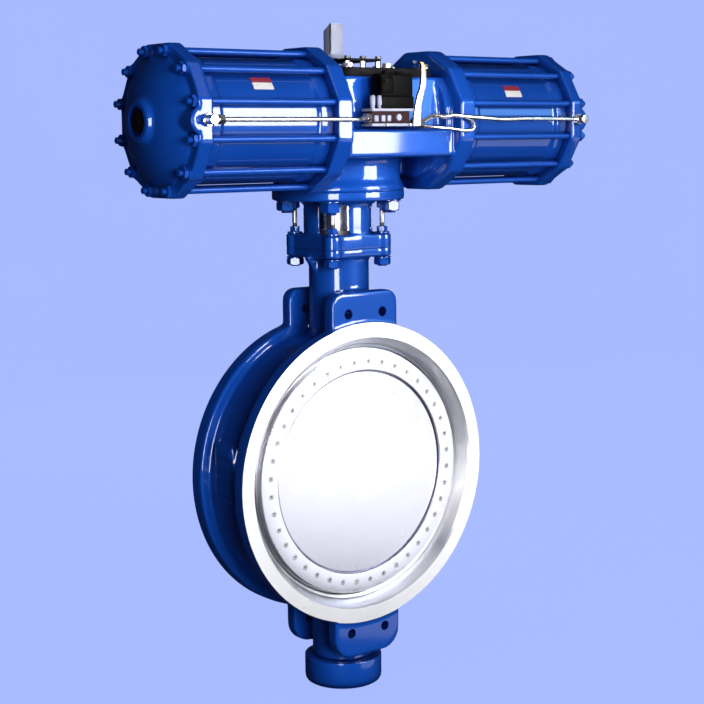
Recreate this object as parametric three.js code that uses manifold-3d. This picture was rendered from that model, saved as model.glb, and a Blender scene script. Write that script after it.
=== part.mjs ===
// Pneumatic actuated valve: a DN 400 wafer butterfly valve carrying a double-acting
// scotch-yoke cylinder actuator. Millimetres, +Z up. The origin is the centre of the bore:
// X runs along the actuator's cylinders, Y along the pipe (the face with the disc's clamp
// ring looks towards -Y) and Z along the stem.
import * as THREE from 'three';
import { mergeVertices } from 'three/addons/utils/BufferGeometryUtils.js';
import Module from 'manifold-3d';

const wasm = await Module();
wasm.setup();

// ---- driving dimensions ---------------------------------------------------------------
const GAP = 0.3; // left between neighbouring pieces
const HALF_FACE = 70; // raised faces at Y = -70 and +70
const FACE_R = 240; // raised face and flange radius
const FLANGE_T = 25; // thickness of each flange
const WEB_R = 224; // body between its two flanges
const MOUTH_R = 216; // bore at the front face
const SEAT_R = 200.4; // bore where the disc closes
const SPHERE_R = 205.2; // round pocket that the disc's edge turns in
const SEAT_Y = 44; // distance of the closing edge from the stem
const REAR_R = 200; // bore behind the pocket
const LUG = { halfWidth: 65, top: 291, bottom: 297, corner: 20, bottomCorner: 34 };
const LUG_HOLE = { r: 8, x: 34, z: 257 };
const NECK_R = 48;
const STEM_R = 25;
const BUSH_R = 31;
const PACK_R = 36;
const EAR4 = { pcr: 70, earR: 14, boltR: 8, coreR: 60, t: 14 }; // four-bolt flange, ears at 45 deg
const NECK_TOP = 357;
const STAND = { flangeT: 22, topZ: 447, topT: 14, topR: 105, wallR: 58, boreR: 44, pcr: 82.5, boltR: 10 };
const BOTTOM = { bossR: 50, bossZ: -311, coverR: 63, coverZ: -356, edge: 9 };

const CYL_Y = -70; // axis of the cylinders
const CYL_Z = 555;
const BARREL = { outer: 90, inner: 85, from: 132, to: 345, collarR: 94, collar: 20 };
const END = { pcr: 100, earR: 11, step: 30, first: 15, t: 22 }; // 12-ear flanges
const END_FLAT = END.pcr * Math.cos((END.step * Math.PI) / 360) + END.earR; // across to a straight side
const INNER_FLANGE = { from: 103, to: 132 };
const ROD_R = 5; // tie rods
const NUT_R = 9.2;
const NUT_T = 8;
const PISTON = { at: 225, t: 30, r: 84.4 };
const PISTON_ROD_R = 20;
const SHIFT = -70; // the pistons stand this far to the left with the valve closed
const YOKE_TURN = -45; // where the yoke points with the valve closed, from -Y
const YOKE = { hubR: 35, armHalf: 32, reach: 129, slotHalf: 22.5, slotFrom: 48, slotTo: 118, t: 16 };
const PIN_R = 14;
const ROLLER_R = 16;
const HOUSING = { half: 103, front: -160, back: 58, bottom: 500, top: 620, shelf: 543, wall: 8 };
const HUB_R = 102; // round base of the housing, about the stem

// ---- small shape helpers ---------------------------------------------------------------
const RIGHT_ANGLE = Math.PI / 2;
const FINE = 48; // sides of the bore and of the disc in it
const ROUND = 24; // sides of a barrel and a piston
const SHAFT = 24; // sides of the stem and of what it turns in
const SMALL = 16; // sides of a neck, a boss or a cover
const TINY = 6; // sides of a tie rod or a bolt hole
const rad = (degrees) => (degrees * Math.PI) / 180;

// A closed geometry as a manifold solid, turned the right way out if it needs it.
function solid(geometry) {
  let bare = geometry.index ? geometry.toNonIndexed() : geometry.clone();
  bare.deleteAttribute('normal');
  bare.deleteAttribute('uv');
  bare = mergeVertices(bare, 1e-4);
  const points = new Float32Array(bare.attributes.position.array);
  const corners = [];
  let volume = 0;
  const [a, b, c] = [new THREE.Vector3(), new THREE.Vector3(), new THREE.Vector3()];
  for (let i = 0; i < bare.index.count; i += 3) {
    const [p, q, r] = [0, 1, 2].map((k) => bare.index.getX(i + k));
    if (p === q || q === r || r === p) continue;
    corners.push(p, q, r);
    [a, b, c].forEach((v, k) => v.fromArray(points, 3 * [p, q, r][k]));
    volume += a.dot(b.cross(c));
  }
  const triVerts = new Uint32Array(volume < 0 ? corners.reverse() : corners);
  return new wasm.Manifold(new wasm.Mesh({ numProp: 3, vertProperties: points, triVerts }));
}

// Turns a geometry made about three.js's Y or Z so that it runs along the named axis.
function lathe(axis, profile, segments = 32) {
  const points = profile.map(([r, along]) => new THREE.Vector2(r, along));
  const geometry = new THREE.LatheGeometry(points, segments);
  if (axis === 'x') geometry.rotateZ(-RIGHT_ANGLE);
  if (axis === 'z') geometry.rotateX(RIGHT_ANGLE);
  return solid(geometry);
}

// A round bar along an axis, from one coordinate to another.
function bar(axis, r, from, to, segments = 24) {
  return lathe(axis, [[0, from], [r, from], [r, to], [0, to]], segments);
}

// A hexagon nut or head along an axis.
function hexagon(axis, r, from, to) {
  return bar(axis, r, from, to, 6);
}

function block(x, y, z) {
  const geometry = new THREE.BoxGeometry(x[1] - x[0], y[1] - y[0], z[1] - z[0]);
  geometry.translate((x[0] + x[1]) / 2, (y[0] + y[1]) / 2, (z[0] + z[1]) / 2);
  return solid(geometry);
}

// A flat outline with thickness: drawn in X-Y and raised from z0 to z1.
function plate(shape, z0, z1, curveSegments = 4) {
  const geometry = new THREE.ExtrudeGeometry(shape, { depth: z1 - z0, bevelEnabled: false, curveSegments });
  geometry.translate(0, 0, z0);
  return solid(geometry);
}

// A rectangle with round corners, centred on the origin.
function roundedRectangle(halfWidth, halfHeight, corner) {
  const shape = new THREE.Shape();
  const [w, h] = [halfWidth - corner, halfHeight - corner];
  shape.absarc(w, h, corner, 0, RIGHT_ANGLE);
  shape.absarc(-w, h, corner, RIGHT_ANGLE, 2 * RIGHT_ANGLE);
  shape.absarc(-w, -h, corner, 2 * RIGHT_ANGLE, 3 * RIGHT_ANGLE);
  shape.absarc(w, -h, corner, 3 * RIGHT_ANGLE, 4 * RIGHT_ANGLE);
  shape.closePath();
  return shape;
}

const union = (...pieces) => pieces.reduce((all, piece) => all.add(piece));
const cut = (from, ...tools) => tools.reduce((all, tool) => all.subtract(tool), from);
const turned = (piece, degrees) => piece.rotate([0, 0, degrees]);

// The places of four bolts at 45 degrees.
const atFourCorners = (radius, make) => [45, 135, 225, 315].map((degrees) => {
  const angle = rad(degrees);
  return make().translate([radius * Math.cos(angle), radius * Math.sin(angle), 0]);
});

const parts = new THREE.Group();

function add(name, manifold, finish) {
  const mesh = manifold.getMesh();
  const geometry = new THREE.BufferGeometry();
  geometry.setAttribute('position', new THREE.BufferAttribute(new Float32Array(mesh.vertProperties), 3));
  geometry.setIndex(new THREE.BufferAttribute(new Uint32Array(mesh.triVerts), 1));
  geometry.computeVertexNormals();
  const material = new THREE.MeshStandardMaterial(finish);
  const node = new THREE.Mesh(geometry, material);
  node.name = name;
  parts.add(node);
  return node;
}

const ENAMEL = { color: 0x1f5fb4, roughness: 0.3, metalness: 0.1 };
const MACHINED = { color: 0xd8d8de, roughness: 0.3, metalness: 0.9 };
const STEEL = { color: 0x9a9aa0, roughness: 0.4, metalness: 0.9 };
const BRONZE = { color: 0xa87f3f, roughness: 0.4, metalness: 0.9 };
const RUBBER = { color: 0x26262a, roughness: 0.8, metalness: 0 };
const BLACK = { color: 0x1a1a1c, roughness: 0.5, metalness: 0 };
const SILVER = { color: 0xd9d2cf, roughness: 0.35, metalness: 0.8 };

// ---- the valve -------------------------------------------------------------------------

// Half-section of the round pocket: the body's bore follows it, so that the disc's edge
// keeps the same distance from it all the way round its quarter turn.
function pocketProfile() {
  const steps = 4;
  const points = [];
  for (let i = 0; i <= steps; i += 1) {
    const y = SEAT_Y - (2 * SEAT_Y * i) / steps;
    points.push([Math.sqrt(SPHERE_R ** 2 - y ** 2), y]);
  }
  return points;
}

function boreTool() {
  const past = 5;
  const rear = [[0, HALF_FACE + past], [REAR_R, HALF_FACE + past]];
  const front = [[MOUTH_R, -HALF_FACE], [MOUTH_R, -HALF_FACE - past], [0, -HALF_FACE - past]];
  return lathe('y', [...rear, ...pocketProfile(), ...front], FINE);
}

// One of the four fixing lugs: a plate standing on a flange, with two bolt holes.
function lug(y0, y1, side) {
  const halfHeight = 55;
  const middle = side > 0 ? LUG.top - halfHeight : halfHeight - LUG.bottom;
  const corner = side > 0 ? LUG.corner : LUG.bottomCorner;
  const outline = roundedRectangle(LUG.halfWidth, halfHeight, corner);
  const standing = plate(outline, 0, y1 - y0, 3).rotate([90, 0, 0]).translate([0, y1, middle]);
  const hole = (x) => bar('y', LUG_HOLE.r, y0 - 1, y1 + 1, 8).translate([x, 0, side * LUG_HOLE.z]);
  return cut(standing, hole(LUG_HOLE.x), hole(-LUG_HOLE.x));
}

// Four ears on a round core: the outline of the small mounting flange.
function fourEarFlange(z0, z1) {
  const arm = () => plate(roundedRectangle(EAR4.pcr + EAR4.earR, EAR4.earR, EAR4.earR - 0.01), z0, z1, 3);
  const core = bar('z', EAR4.coreR, z0, z1, SMALL);
  const holes = atFourCorners(EAR4.pcr, () => bar('z', EAR4.boltR + 0.6, z0 - 1, z1 + 1, TINY));
  return cut(union(core, turned(arm(), 45), turned(arm(), 135)), ...holes);
}

const SEAT_Z = 262; // floor of the packing chamber
const BUSH_END = 208; // inner ends of the two stem bushes

function valveBody() {
  const lip = 2; // the lugs stand a little behind the raised faces
  const [front, back] = [-HALF_FACE, HALF_FACE];
  const innerFront = front + FLANGE_T;
  const innerBack = back - FLANGE_T;
  const ring = lathe('y', [
    [REAR_R - 10, front], [FACE_R, front], [FACE_R, innerFront], [WEB_R, innerFront],
    [WEB_R, innerBack], [FACE_R, innerBack], [FACE_R, back], [REAR_R - 10, back], [REAR_R - 10, front],
  ], FINE);
  const lugs = [1, -1].flatMap((side) => [
    lug(front + lip, innerFront, side),
    lug(innerBack, back - lip, side),
  ]);
  const neck = bar('z', NECK_R, 190, NECK_TOP, SMALL);
  const boss = bar('z', BOTTOM.bossR, BOTTOM.bossZ, -190, SMALL);
  const whole = union(ring, ...lugs, neck, boss, fourEarFlange(NECK_TOP - EAR4.t, NECK_TOP));
  return cut(
    whole,
    boreTool(),
    bar('z', BUSH_R + GAP, 180, NECK_TOP + 1, SHAFT),
    bar('z', PACK_R + GAP, SEAT_Z, NECK_TOP + 1, SHAFT),
    bar('z', BUSH_R + GAP, BOTTOM.bossZ - 1, -180, SHAFT),
  );
}

const STEM_LOW = -299;
const STEM_HIGH = 545;
const FLAT = 19; // half-width across the two drive flats at the top of the stem
const FLAT_Z = 490; // where the flats begin

function stem() {
  const shaft = bar('z', STEM_R, STEM_LOW, STEM_HIGH, SHAFT);
  const flats = [1, -1].map((side) => {
    const x = side > 0 ? [FLAT, 40] : [-40, -FLAT];
    return turned(block(x, [-40, 40], [FLAT_Z, STEM_HIGH + 1]), YOKE_TURN);
  });
  return cut(shaft, ...flats, discPinHole(GAP));
}

const DISC_PIN = { r: 9, z: -110, from: -44, to: 44 };

function discPinHole(gap) {
  return bar('y', DISC_PIN.r + gap, DISC_PIN.from - 1, DISC_PIN.to + 1, 16).translate([0, 0, DISC_PIN.z]);
}

const DISC = { rimR: 197, faceY: -38, backY: -20, hubR: 44, hubHalf: 193 };
const RING = { inner: 165, outer: 195, front: -56, back: -44 };
const SEAL = { inner: 176, outer: 199, front: -43.7, back: -38.3 };

function disc() {
  const plateBody = lathe('y', [
    [0, RING.back + GAP], [RING.inner - 1, RING.back + GAP], [SEAL.inner - GAP, RING.back + GAP],
    [SEAL.inner - GAP, DISC.faceY], [DISC.rimR, DISC.faceY],
    [DISC.rimR, DISC.backY], [150, -8], [60, 14], [0, 16],
  ], FINE);
  const hub = lathe('z', [
    [0, -DISC.hubHalf], [34, -DISC.hubHalf], [34, -172], [DISC.hubR, -150],
    [DISC.hubR, 150], [34, 172], [34, DISC.hubHalf], [0, DISC.hubHalf],
  ], SMALL);
  const face = lathe('y', [
    [0, -52], [RING.inner - 4, -52], [RING.inner - 2, -48], [RING.inner - 2, -40], [0, -40],
  ], FINE);
  const frontCut = lathe('y', [[RING.inner - 1, -90], [230, -90], [230, RING.back + GAP],
    [RING.inner - 1, RING.back + GAP], [RING.inner - 1, -90]], FINE);
  const stemHole = bar('z', STEM_R + GAP, -200, 200, SHAFT);
  return cut(union(plateBody, hub, face), stemHole, discPinHole(GAP), frontCut);
}

function ring(axis, inner, outer, from, to, segments) {
  return lathe(axis, [[inner, from], [outer, from], [outer, to], [inner, to], [inner, from]], segments);
}

// One of the four bolts between the body and the stand: a large nut under the body, and a
// thin end above the stand's foot with a small nut at each end.
function standBolt() {
  const under = NECK_TOP - EAR4.t - GAP;
  const over = NECK_TOP + GAP + STAND.flangeT + GAP;
  const ceiling = STAND.topZ - STAND.topT - GAP;
  return union(
    bar('z', EAR4.boltR, under - 15, over + 1, TINY),
    bar('z', 4, over, ceiling, TINY),
    hexagon('z', 13.8, under - 13, under),
    bar('z', 12, over, over + 2.5, 12),
    hexagon('z', 8.5, over + 2, over + 11),
    hexagon('z', 8.5, ceiling - 13, ceiling),
  );
}

function mountingStand() {
  const z0 = NECK_TOP + GAP;
  const top = STAND.topZ - STAND.topT;
  const legs = ring('z', STAND.boreR, STAND.wallR, z0 + 5, top + 1, SMALL);
  const base = cut(fourEarFlange(z0, z0 + STAND.flangeT), bar('z', STAND.boreR, z0 - 1, top, SMALL));
  const plateTop = ring('z', STAND.boreR, STAND.topR, top, STAND.topZ, 40);
  const slot = () => block([-90, 90], [-24, 24], [z0 + STAND.flangeT, top - 6]);
  const windows = [turned(slot(), 45), turned(slot(), 135)];
  const holes = atFourCorners(STAND.pcr, () => bar('z', STAND.boltR, top - 1, STAND.topZ + 1, TINY));
  return cut(union(cut(legs, ...windows), base, plateTop), ...holes);
}

function bottomCover() {
  const { bossZ, coverR, coverZ, edge } = BOTTOM;
  const flange = lathe('z', [
    [0, coverZ], [coverR - edge, coverZ], [coverR, coverZ + edge], [coverR, bossZ - GAP], [0, bossZ - GAP],
  ], SMALL);
  const spigot = bar('z', BUSH_R, bossZ - 1, bossZ + 3, SHAFT);
  return union(flange, spigot);
}

add('valve_body', valveBody(), ENAMEL);
add('stem', stem(), MACHINED);
add('disc', disc(), MACHINED);
add('disc_seal_ring', ring('y', SEAL.inner, SEAL.outer, SEAL.front, SEAL.back, FINE), RUBBER);
add('disc_retaining_ring', ring('y', RING.inner, RING.outer, RING.front, RING.back, FINE), MACHINED);
add('disc_pin', bar('y', DISC_PIN.r, DISC_PIN.from, DISC_PIN.to, 16).translate([0, 0, DISC_PIN.z]), STEEL);
add('upper_stem_bush', ring('z', STEM_R + GAP, BUSH_R, BUSH_END, SEAT_Z - GAP, SHAFT), BRONZE);
add('lower_stem_bush', ring('z', STEM_R + GAP, BUSH_R, -303, -BUSH_END, SHAFT), BRONZE);
add('thrust_washer', bar('z', 24, -307, STEM_LOW - GAP, 24), BRONZE);
add('bottom_cover', bottomCover(), ENAMEL);
add('packing_rings', ring('z', STEM_R + GAP, PACK_R, SEAT_Z, 320, SHAFT), RUBBER);
add('gland_follower', union(
  ring('z', STEM_R + GAP, PACK_R, 320 + GAP, 385, SHAFT),
  ring('z', STEM_R + GAP, STAND.boreR - 4, 360, 372, SHAFT),
), STEEL);
add('mounting_stand', mountingStand(), ENAMEL);
atFourCorners(EAR4.pcr, standBolt).forEach((bolt, i) => add(`stand_bolt_${i + 1}`, bolt, STEEL));

// ---- the actuator ----------------------------------------------------------------------

// Twelve ears with straight sides between them: the outline of a cylinder's end flanges.
function twelveEarOutline() {
  const shape = new THREE.Shape();
  for (let k = 0; k < 12; k += 1) {
    const angle = rad(END.first + k * END.step);
    const half = rad(END.step / 2);
    const [x, y] = [END.pcr * Math.cos(angle), END.pcr * Math.sin(angle)];
    shape.absarc(x, y, END.earR, angle - half, angle + half);
  }
  shape.closePath();
  return shape;
}

// Places a piece made along +X on one of the two cylinders: side 1 is right, -1 is left.
function onCylinder(piece, side) {
  const placed = side > 0 ? piece : piece.mirror([1, 0, 0]);
  return placed.translate([0, CYL_Y, CYL_Z]);
}

function endFlange(from, to) {
  return plate(twelveEarOutline(), 0, to - from, 1).rotate([90, 0, 90]).translate([from, 0, 0]);
}

// The twelve places round a cylinder where a tie rod runs.
function rodPlaces() {
  return Array.from({ length: 12 }, (_, k) => {
    const angle = rad(END.first + k * END.step);
    return [END.pcr * Math.cos(angle), END.pcr * Math.sin(angle)];
  });
}

const RING_STEP = 5; // the spigot that centres each cap in its barrel

function endCap() {
  const { from, to } = { from: BARREL.to, to: BARREL.to + END.t };
  const flange = endFlange(from, to);
  const dome = lathe('x', [
    [0, to - 2], [88, to - 2], [88, to + 4], [60, to + 22], [30, to + 31],
    [28, to + 37], [20, to + 37], [20, to + 29], [0, to + 29],
  ], ROUND);
  const spigot = bar('x', BARREL.inner - GAP, from - RING_STEP, from + 1, ROUND);
  const hollow = bar('x', 66, from - RING_STEP - 1, to + 2, SMALL);
  const port = bar('y', 7, -120, -50, 10).translate([from + END.t / 2, 0, 0]);
  const hole = () => bar('x', ROD_R + GAP, from - 1, to + 1, TINY);
  const holes = rodPlaces().map(([y, z]) => hole().translate([0, y, z]));
  return cut(union(flange, dome, spigot), hollow, port, bar('x', 10 + GAP, from, to + 60, 16), ...holes);
}

function barrel() {
  const { outer, inner, collarR, collar } = BARREL;
  const [from, to] = [BARREL.from + GAP, BARREL.to - GAP];
  return lathe('x', [
    [inner, from], [collarR, from], [collarR, from + collar], [outer, from + collar + 4],
    [outer, to - collar - 4], [collarR, to - collar], [collarR, to], [inner, to], [inner, from],
  ], ROUND);
}

function tieRod() {
  const nutFrom = BARREL.to + END.t + GAP;
  return union(
    bar('x', ROD_R, INNER_FLANGE.from + 5, nutFrom + NUT_T + 7, TINY),
    hexagon('x', NUT_R, nutFrom, nutFrom + NUT_T),
  );
}

function stopScrew() {
  const head = BARREL.to + END.t + 33;
  return bar('x', 10, PISTON.at + PISTON.t / 2 - SHIFT + 3, head, 16);
}

function centreHousing() {
  const { half, front, back, bottom, top, shelf, wall } = HOUSING;
  const flange = (side) => onCylinder(endFlange(INNER_FLANGE.from, INNER_FLANGE.to), side);
  const box = block([-half, half], [front + 15, back], [bottom, top]);
  const lower = block([-half, half], [front, back], [bottom, shelf]);
  const hub = bar('z', HUB_R, STAND.topZ + GAP, bottom + 1, 40);
  const room = block([-half + wall, half - wall], [front + 15 + wall, back - wall], [bottom + wall, top + 1]);
  const hubBore = bar('z', YOKE.hubR + 1, STAND.topZ, top, SMALL);
  const bore = () => bar('x', 76, half - wall - 1, INNER_FLANGE.to + 1, ROUND);
  const bores = [1, -1].map((side) => onCylinder(bore(), side));
  const rods = [1, -1].flatMap((side) => rodPlaces().map(([y, z]) => {
    const hole = bar('x', ROD_R + GAP, INNER_FLANGE.from + 4, INNER_FLANGE.to + 1, TINY);
    return onCylinder(hole.translate([0, y, z]), side);
  }));
  const tapR = STAND.boltR - 2 + GAP;
  const taps = atFourCorners(STAND.pcr, () => bar('z', tapR, STAND.topZ - 1, STAND.topZ + 24, TINY));
  return cut(union(box, lower, hub, flange(1), flange(-1)), room, hubBore, ...bores, ...rods, ...taps);
}

function housingCover() {
  const z0 = HOUSING.top + GAP;
  const outline = roundedRectangle(84, 90, 10);
  const lid = plate(outline, z0, z0 + 13, 3).translate([0, -44, 0]);
  return cut(lid, bar('z', 14 + GAP, z0 - 1, z0 + 20, 20));
}

// One of the yoke's two arms, pointing along -Y before the yoke is turned.
function yokeArm(z0) {
  const { armHalf, reach, slotHalf, slotFrom, slotTo, t } = YOKE;
  const bladeHalf = (reach + 10) / 2;
  const blade = plate(roundedRectangle(armHalf, bladeHalf, 10), z0, z0 + t, 3).translate([0, 10 - bladeHalf, 0]);
  const slot = block([-slotHalf, slotHalf], [-slotTo, -slotFrom], [z0 - 1, z0 + t + 1]);
  return cut(blade, slot);
}

const ARM_Z = [514, 580]; // undersides of the lower and the upper arm

function scotchYoke() {
  const hub = bar('z', YOKE.hubR, 462, 612, SMALL);
  const shaft = union(bar('z', 14, 611, 636, 20), bar('z', 8, 635, 643, 16));
  const arms = ARM_Z.map(yokeArm);
  const socket = cut(
    bar('z', STEM_R + GAP, 461, STEM_HIGH + 1, SHAFT),
    block([FLAT + GAP, 40], [-40, 40], [FLAT_Z + GAP, 560]),
    block([-40, -FLAT - GAP], [-40, 40], [FLAT_Z + GAP, 560]),
  );
  const rounded = bar('z', STEM_R + GAP, 461, FLAT_Z + GAP, SHAFT);
  return turned(cut(union(hub, shaft, ...arms), socket, rounded), YOKE_TURN);
}

function pistonRod() {
  const end = PISTON.at + PISTON.t / 2 + 2;
  const rod = bar('x', PISTON_ROD_R, -PISTON.at + PISTON.t / 2 + GAP, PISTON.at - PISTON.t / 2 - GAP, 24);
  const tail = bar('x', 10, -end, end, 16);
  const crosshead = block([-32, 32], [-24, 24], [-20, 20]);
  const eye = bar('z', PIN_R + GAP, -40, 40, 20);
  return cut(union(rod, tail, crosshead), eye).translate([SHIFT, CYL_Y, CYL_Z]);
}

function yokePin() {
  const low = ARM_Z[0] - 2;
  const high = ARM_Z[1] + YOKE.t + 2;
  return lathe('z', [
    [0, low], [ROLLER_R, low], [ROLLER_R, ARM_Z[0] + YOKE.t + 2], [PIN_R, ARM_Z[0] + YOKE.t + 2],
    [PIN_R, ARM_Z[1] - 2], [ROLLER_R, ARM_Z[1] - 2], [ROLLER_R, high], [0, high],
  ], 20).translate([SHIFT, CYL_Y, 0]);
}

function piston(side) {
  const half = PISTON.t / 2;
  const groove = 3;
  const profile = [
    [10 + GAP, -half], [PISTON.r, -half], [PISTON.r, -groove], [PISTON.r - 5, -groove],
    [PISTON.r - 5, groove], [PISTON.r, groove], [PISTON.r, half], [10 + GAP, half], [10 + GAP, -half],
  ];
  return lathe('x', profile, ROUND).translate([SHIFT + side * PISTON.at, CYL_Y, CYL_Z]);
}

add('centre_housing', centreHousing(), ENAMEL);
add('housing_cover', housingCover(), BLACK);
add('scotch_yoke', scotchYoke(), STEEL);
add('yoke_pin', yokePin(), STEEL);
add('piston_rod', pistonRod(), MACHINED);
for (const [hand, side] of [['left', -1], ['right', 1]]) {
  add(`${hand}_piston`, piston(side), STEEL);
  add(`${hand}_barrel`, onCylinder(barrel(), side), ENAMEL);
  add(`${hand}_end_cap`, onCylinder(endCap(), side), ENAMEL);
  add(`${hand}_stop_screw`, onCylinder(stopScrew(), side), STEEL);
  rodPlaces().forEach(([y, z], k) => {
    const number = String(k + 1).padStart(2, '0');
    add(`${hand}_tie_rod_${number}`, onCylinder(tieRod().translate([0, y, z]), side), ENAMEL);
  });
}

// ---- air control, tubes and position parts ----------------------------------------------

const TUBE = { r: 3.5, y: -190, z: 556, fittingR: 9, portX: BARREL.to + END.t / 2 };
const VALVE = { left: -66, right: 14, front: -172, back: -145.5, low: 546, high: 572 };
const COIL = { left: -49, right: 16, top: 624 };

// The bent strip in front of the valve's right end: middle x, z and half-width, from the foot.
const STRIP = [
  [17, 546, 7], [18.5, 566, 6.5], [20.5, 579, 6], [24, 591, 6],
  [28, 600, 5.5], [30, 609, 5], [30.5, 624, 4.5], [30, 636, 4], [26, 641, 3.5],
];

// The directional valve's block, recessed between its two plates, with the bent strip.
function solenoidValve() {
  const { left, right, front, back, low, high } = VALVE;
  const strip = new THREE.Shape();
  strip.moveTo(STRIP[0][0] - STRIP[0][2], low);
  STRIP.forEach(([x, z, half]) => strip.lineTo(x + half, z));
  [...STRIP].reverse().slice(0, -1).forEach(([x, z, half]) => strip.lineTo(x - half, z));
  strip.closePath();
  return union(
    block([left, right], [front, back], [high - 4, high]),
    block([left, right], [front, back], [low, low + 4]),
    block([left + 4, right - 4], [front + 5, back], [low + 1, high - 1]),
    plate(strip, 0, 5).rotate([90, 0, 0]).translate([0, front + 1, 0]),
  );
}

function solenoidCoil() {
  const { left, right, top } = COIL;
  const z0 = VALVE.high + GAP;
  const [front, back] = [VALVE.front + 2, VALVE.back];
  return union(
    block([left, right], [front, back], [z0, z0 + 18]),
    block([left + 2, right - 1], [front + 1, back - 1], [z0 + 17, top]),
  );
}

// An air tube from the valve to a cap's port, with its elbow.
function airTube(points) {
  const path = new THREE.CatmullRomCurve3(points.map((p) => new THREE.Vector3(...p)));
  const section = new THREE.Shape();
  section.absarc(0, 0, TUBE.r, 0, 2 * Math.PI);
  const settings = { steps: 20, curveSegments: 4, bevelEnabled: false, extrudePath: path };
  const tube = solid(new THREE.ExtrudeGeometry(section, settings));
  const [x, y, z] = points.at(-1);
  const elbow = bar('y', TUBE.fittingR, y - 7, CYL_Y - END_FLAT - GAP, 12).translate([x, 0, z]);
  return union(tube, elbow);
}

function leftAirTube() {
  const { y, z, portX } = TUBE;
  return airTube([
    [VALVE.left - GAP, -165, z + 2], [-80, -172, z + 2], [-104, -188, z], [-140, y, z],
    [-240, y, z], [-portX, y, z],
  ]);
}

function rightAirTube() {
  const { y, z, portX } = TUBE;
  const tube = airTube([
    [22, -162, 552], [40, -166, 551], [70, -178, 558], [100, -188, z + 3],
    [140, y, z + 2], [240, y, z], [portX, y, z],
  ]);
  return union(tube, hexagon('x', 8, 19.6, 29).translate([0, -162, 552]));
}

// A raised plate on five posts, with a bent upright for a position sensor.
function accessoryBracket() {
  const z0 = HOUSING.top + 13 + 3 * GAP;
  const [under, over] = [646, 650];
  const deck = block([-34, 34], [-72, 24], [under, over]);
  const posts = [[-30, -67], [0, -67], [30, -67], [-30, 19], [30, 19]];
  const legs = posts.map(([x, y]) => bar('z', 4, z0, under + 1, 10).translate([x, y, 0]));
  const bend = new THREE.Shape();
  bend.moveTo(-30, over - 1);
  bend.lineTo(-30, over + 2);
  bend.lineTo(-21, over + 2);
  bend.absarc(-21, over + 11, 9, -RIGHT_ANGLE, 0);
  bend.lineTo(-12, 706);
  bend.lineTo(-9, 706);
  bend.lineTo(-9, over + 11);
  bend.absarc(-21, over + 11, 12, 0, -RIGHT_ANGLE, true);
  bend.closePath();
  const [left, right] = [-20.5, 4];
  const web = plate(bend, left, right, 3).rotate([90, 0, 90]);
  const side = new THREE.Shape();
  side.moveTo(-12, over + 8);
  side.lineTo(-12, 706);
  side.lineTo(6, 695);
  side.lineTo(6, over + 8);
  side.closePath();
  const flange = plate(side, left, left + 3).rotate([90, 0, 90]);
  const lip = block([right - 2.5, right], [-12, -5], [over + 8, 702]);
  return union(deck, ...legs, web, flange, lip);
}

const POINTER_Z = HOUSING.top + 16.5;

function positionPointer() {
  const arrow = new THREE.Shape();
  arrow.moveTo(-12, -12);
  arrow.lineTo(0, -28);
  arrow.lineTo(12, -12);
  arrow.lineTo(12, 12);
  arrow.lineTo(-12, 12);
  arrow.closePath();
  return cut(plate(arrow, POINTER_Z, POINTER_Z + 4), bar('z', 8 + GAP, POINTER_Z - 1, POINTER_Z + 5, 16));
}

add('solenoid_valve', solenoidValve(), SILVER);
add('solenoid_coil', solenoidCoil(), BLACK);
add('left_air_tube', leftAirTube(), SILVER);
add('right_air_tube', rightAirTube(), SILVER);
add('accessory_bracket', accessoryBracket(), SILVER);
add('position_pointer', positionPointer(), BLACK);

export default parts;
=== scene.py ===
"""A pneumatic actuated valve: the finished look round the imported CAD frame.

The sizes below are in millimetres, in the frame's own axes: X along the actuator's cylinders,
Y along the pipe, Z along the stem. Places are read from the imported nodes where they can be.
"""

import math

import bmesh
import bpy
from mathutils import Matrix, Vector


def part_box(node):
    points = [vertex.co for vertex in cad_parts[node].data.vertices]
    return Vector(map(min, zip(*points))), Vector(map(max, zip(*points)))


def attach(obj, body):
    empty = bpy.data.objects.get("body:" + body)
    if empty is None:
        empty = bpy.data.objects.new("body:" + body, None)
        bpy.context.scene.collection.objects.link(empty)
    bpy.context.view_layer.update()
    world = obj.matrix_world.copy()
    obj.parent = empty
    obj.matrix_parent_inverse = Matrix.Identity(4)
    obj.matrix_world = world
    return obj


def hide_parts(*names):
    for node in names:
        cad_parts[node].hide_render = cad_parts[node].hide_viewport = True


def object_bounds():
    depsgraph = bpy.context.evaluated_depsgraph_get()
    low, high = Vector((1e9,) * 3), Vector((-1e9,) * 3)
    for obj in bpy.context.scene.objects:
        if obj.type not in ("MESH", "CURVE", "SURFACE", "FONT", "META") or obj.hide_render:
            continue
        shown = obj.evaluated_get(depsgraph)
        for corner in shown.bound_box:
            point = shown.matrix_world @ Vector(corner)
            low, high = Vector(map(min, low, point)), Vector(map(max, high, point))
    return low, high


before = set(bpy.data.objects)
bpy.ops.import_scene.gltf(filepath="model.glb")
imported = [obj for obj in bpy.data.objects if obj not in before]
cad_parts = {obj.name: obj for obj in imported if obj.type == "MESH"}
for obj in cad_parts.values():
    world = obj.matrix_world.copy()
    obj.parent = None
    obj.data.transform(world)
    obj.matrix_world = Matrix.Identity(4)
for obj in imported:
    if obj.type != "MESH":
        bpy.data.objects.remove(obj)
cad_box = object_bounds()

MM = 0.001


def span(node):
    """The lowest and highest corner of a CAD node, in millimetres."""
    low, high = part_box(node)
    return Vector(low) / MM, Vector(high) / MM


# ---- driving sizes ---------------------------------------------------------------------

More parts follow.
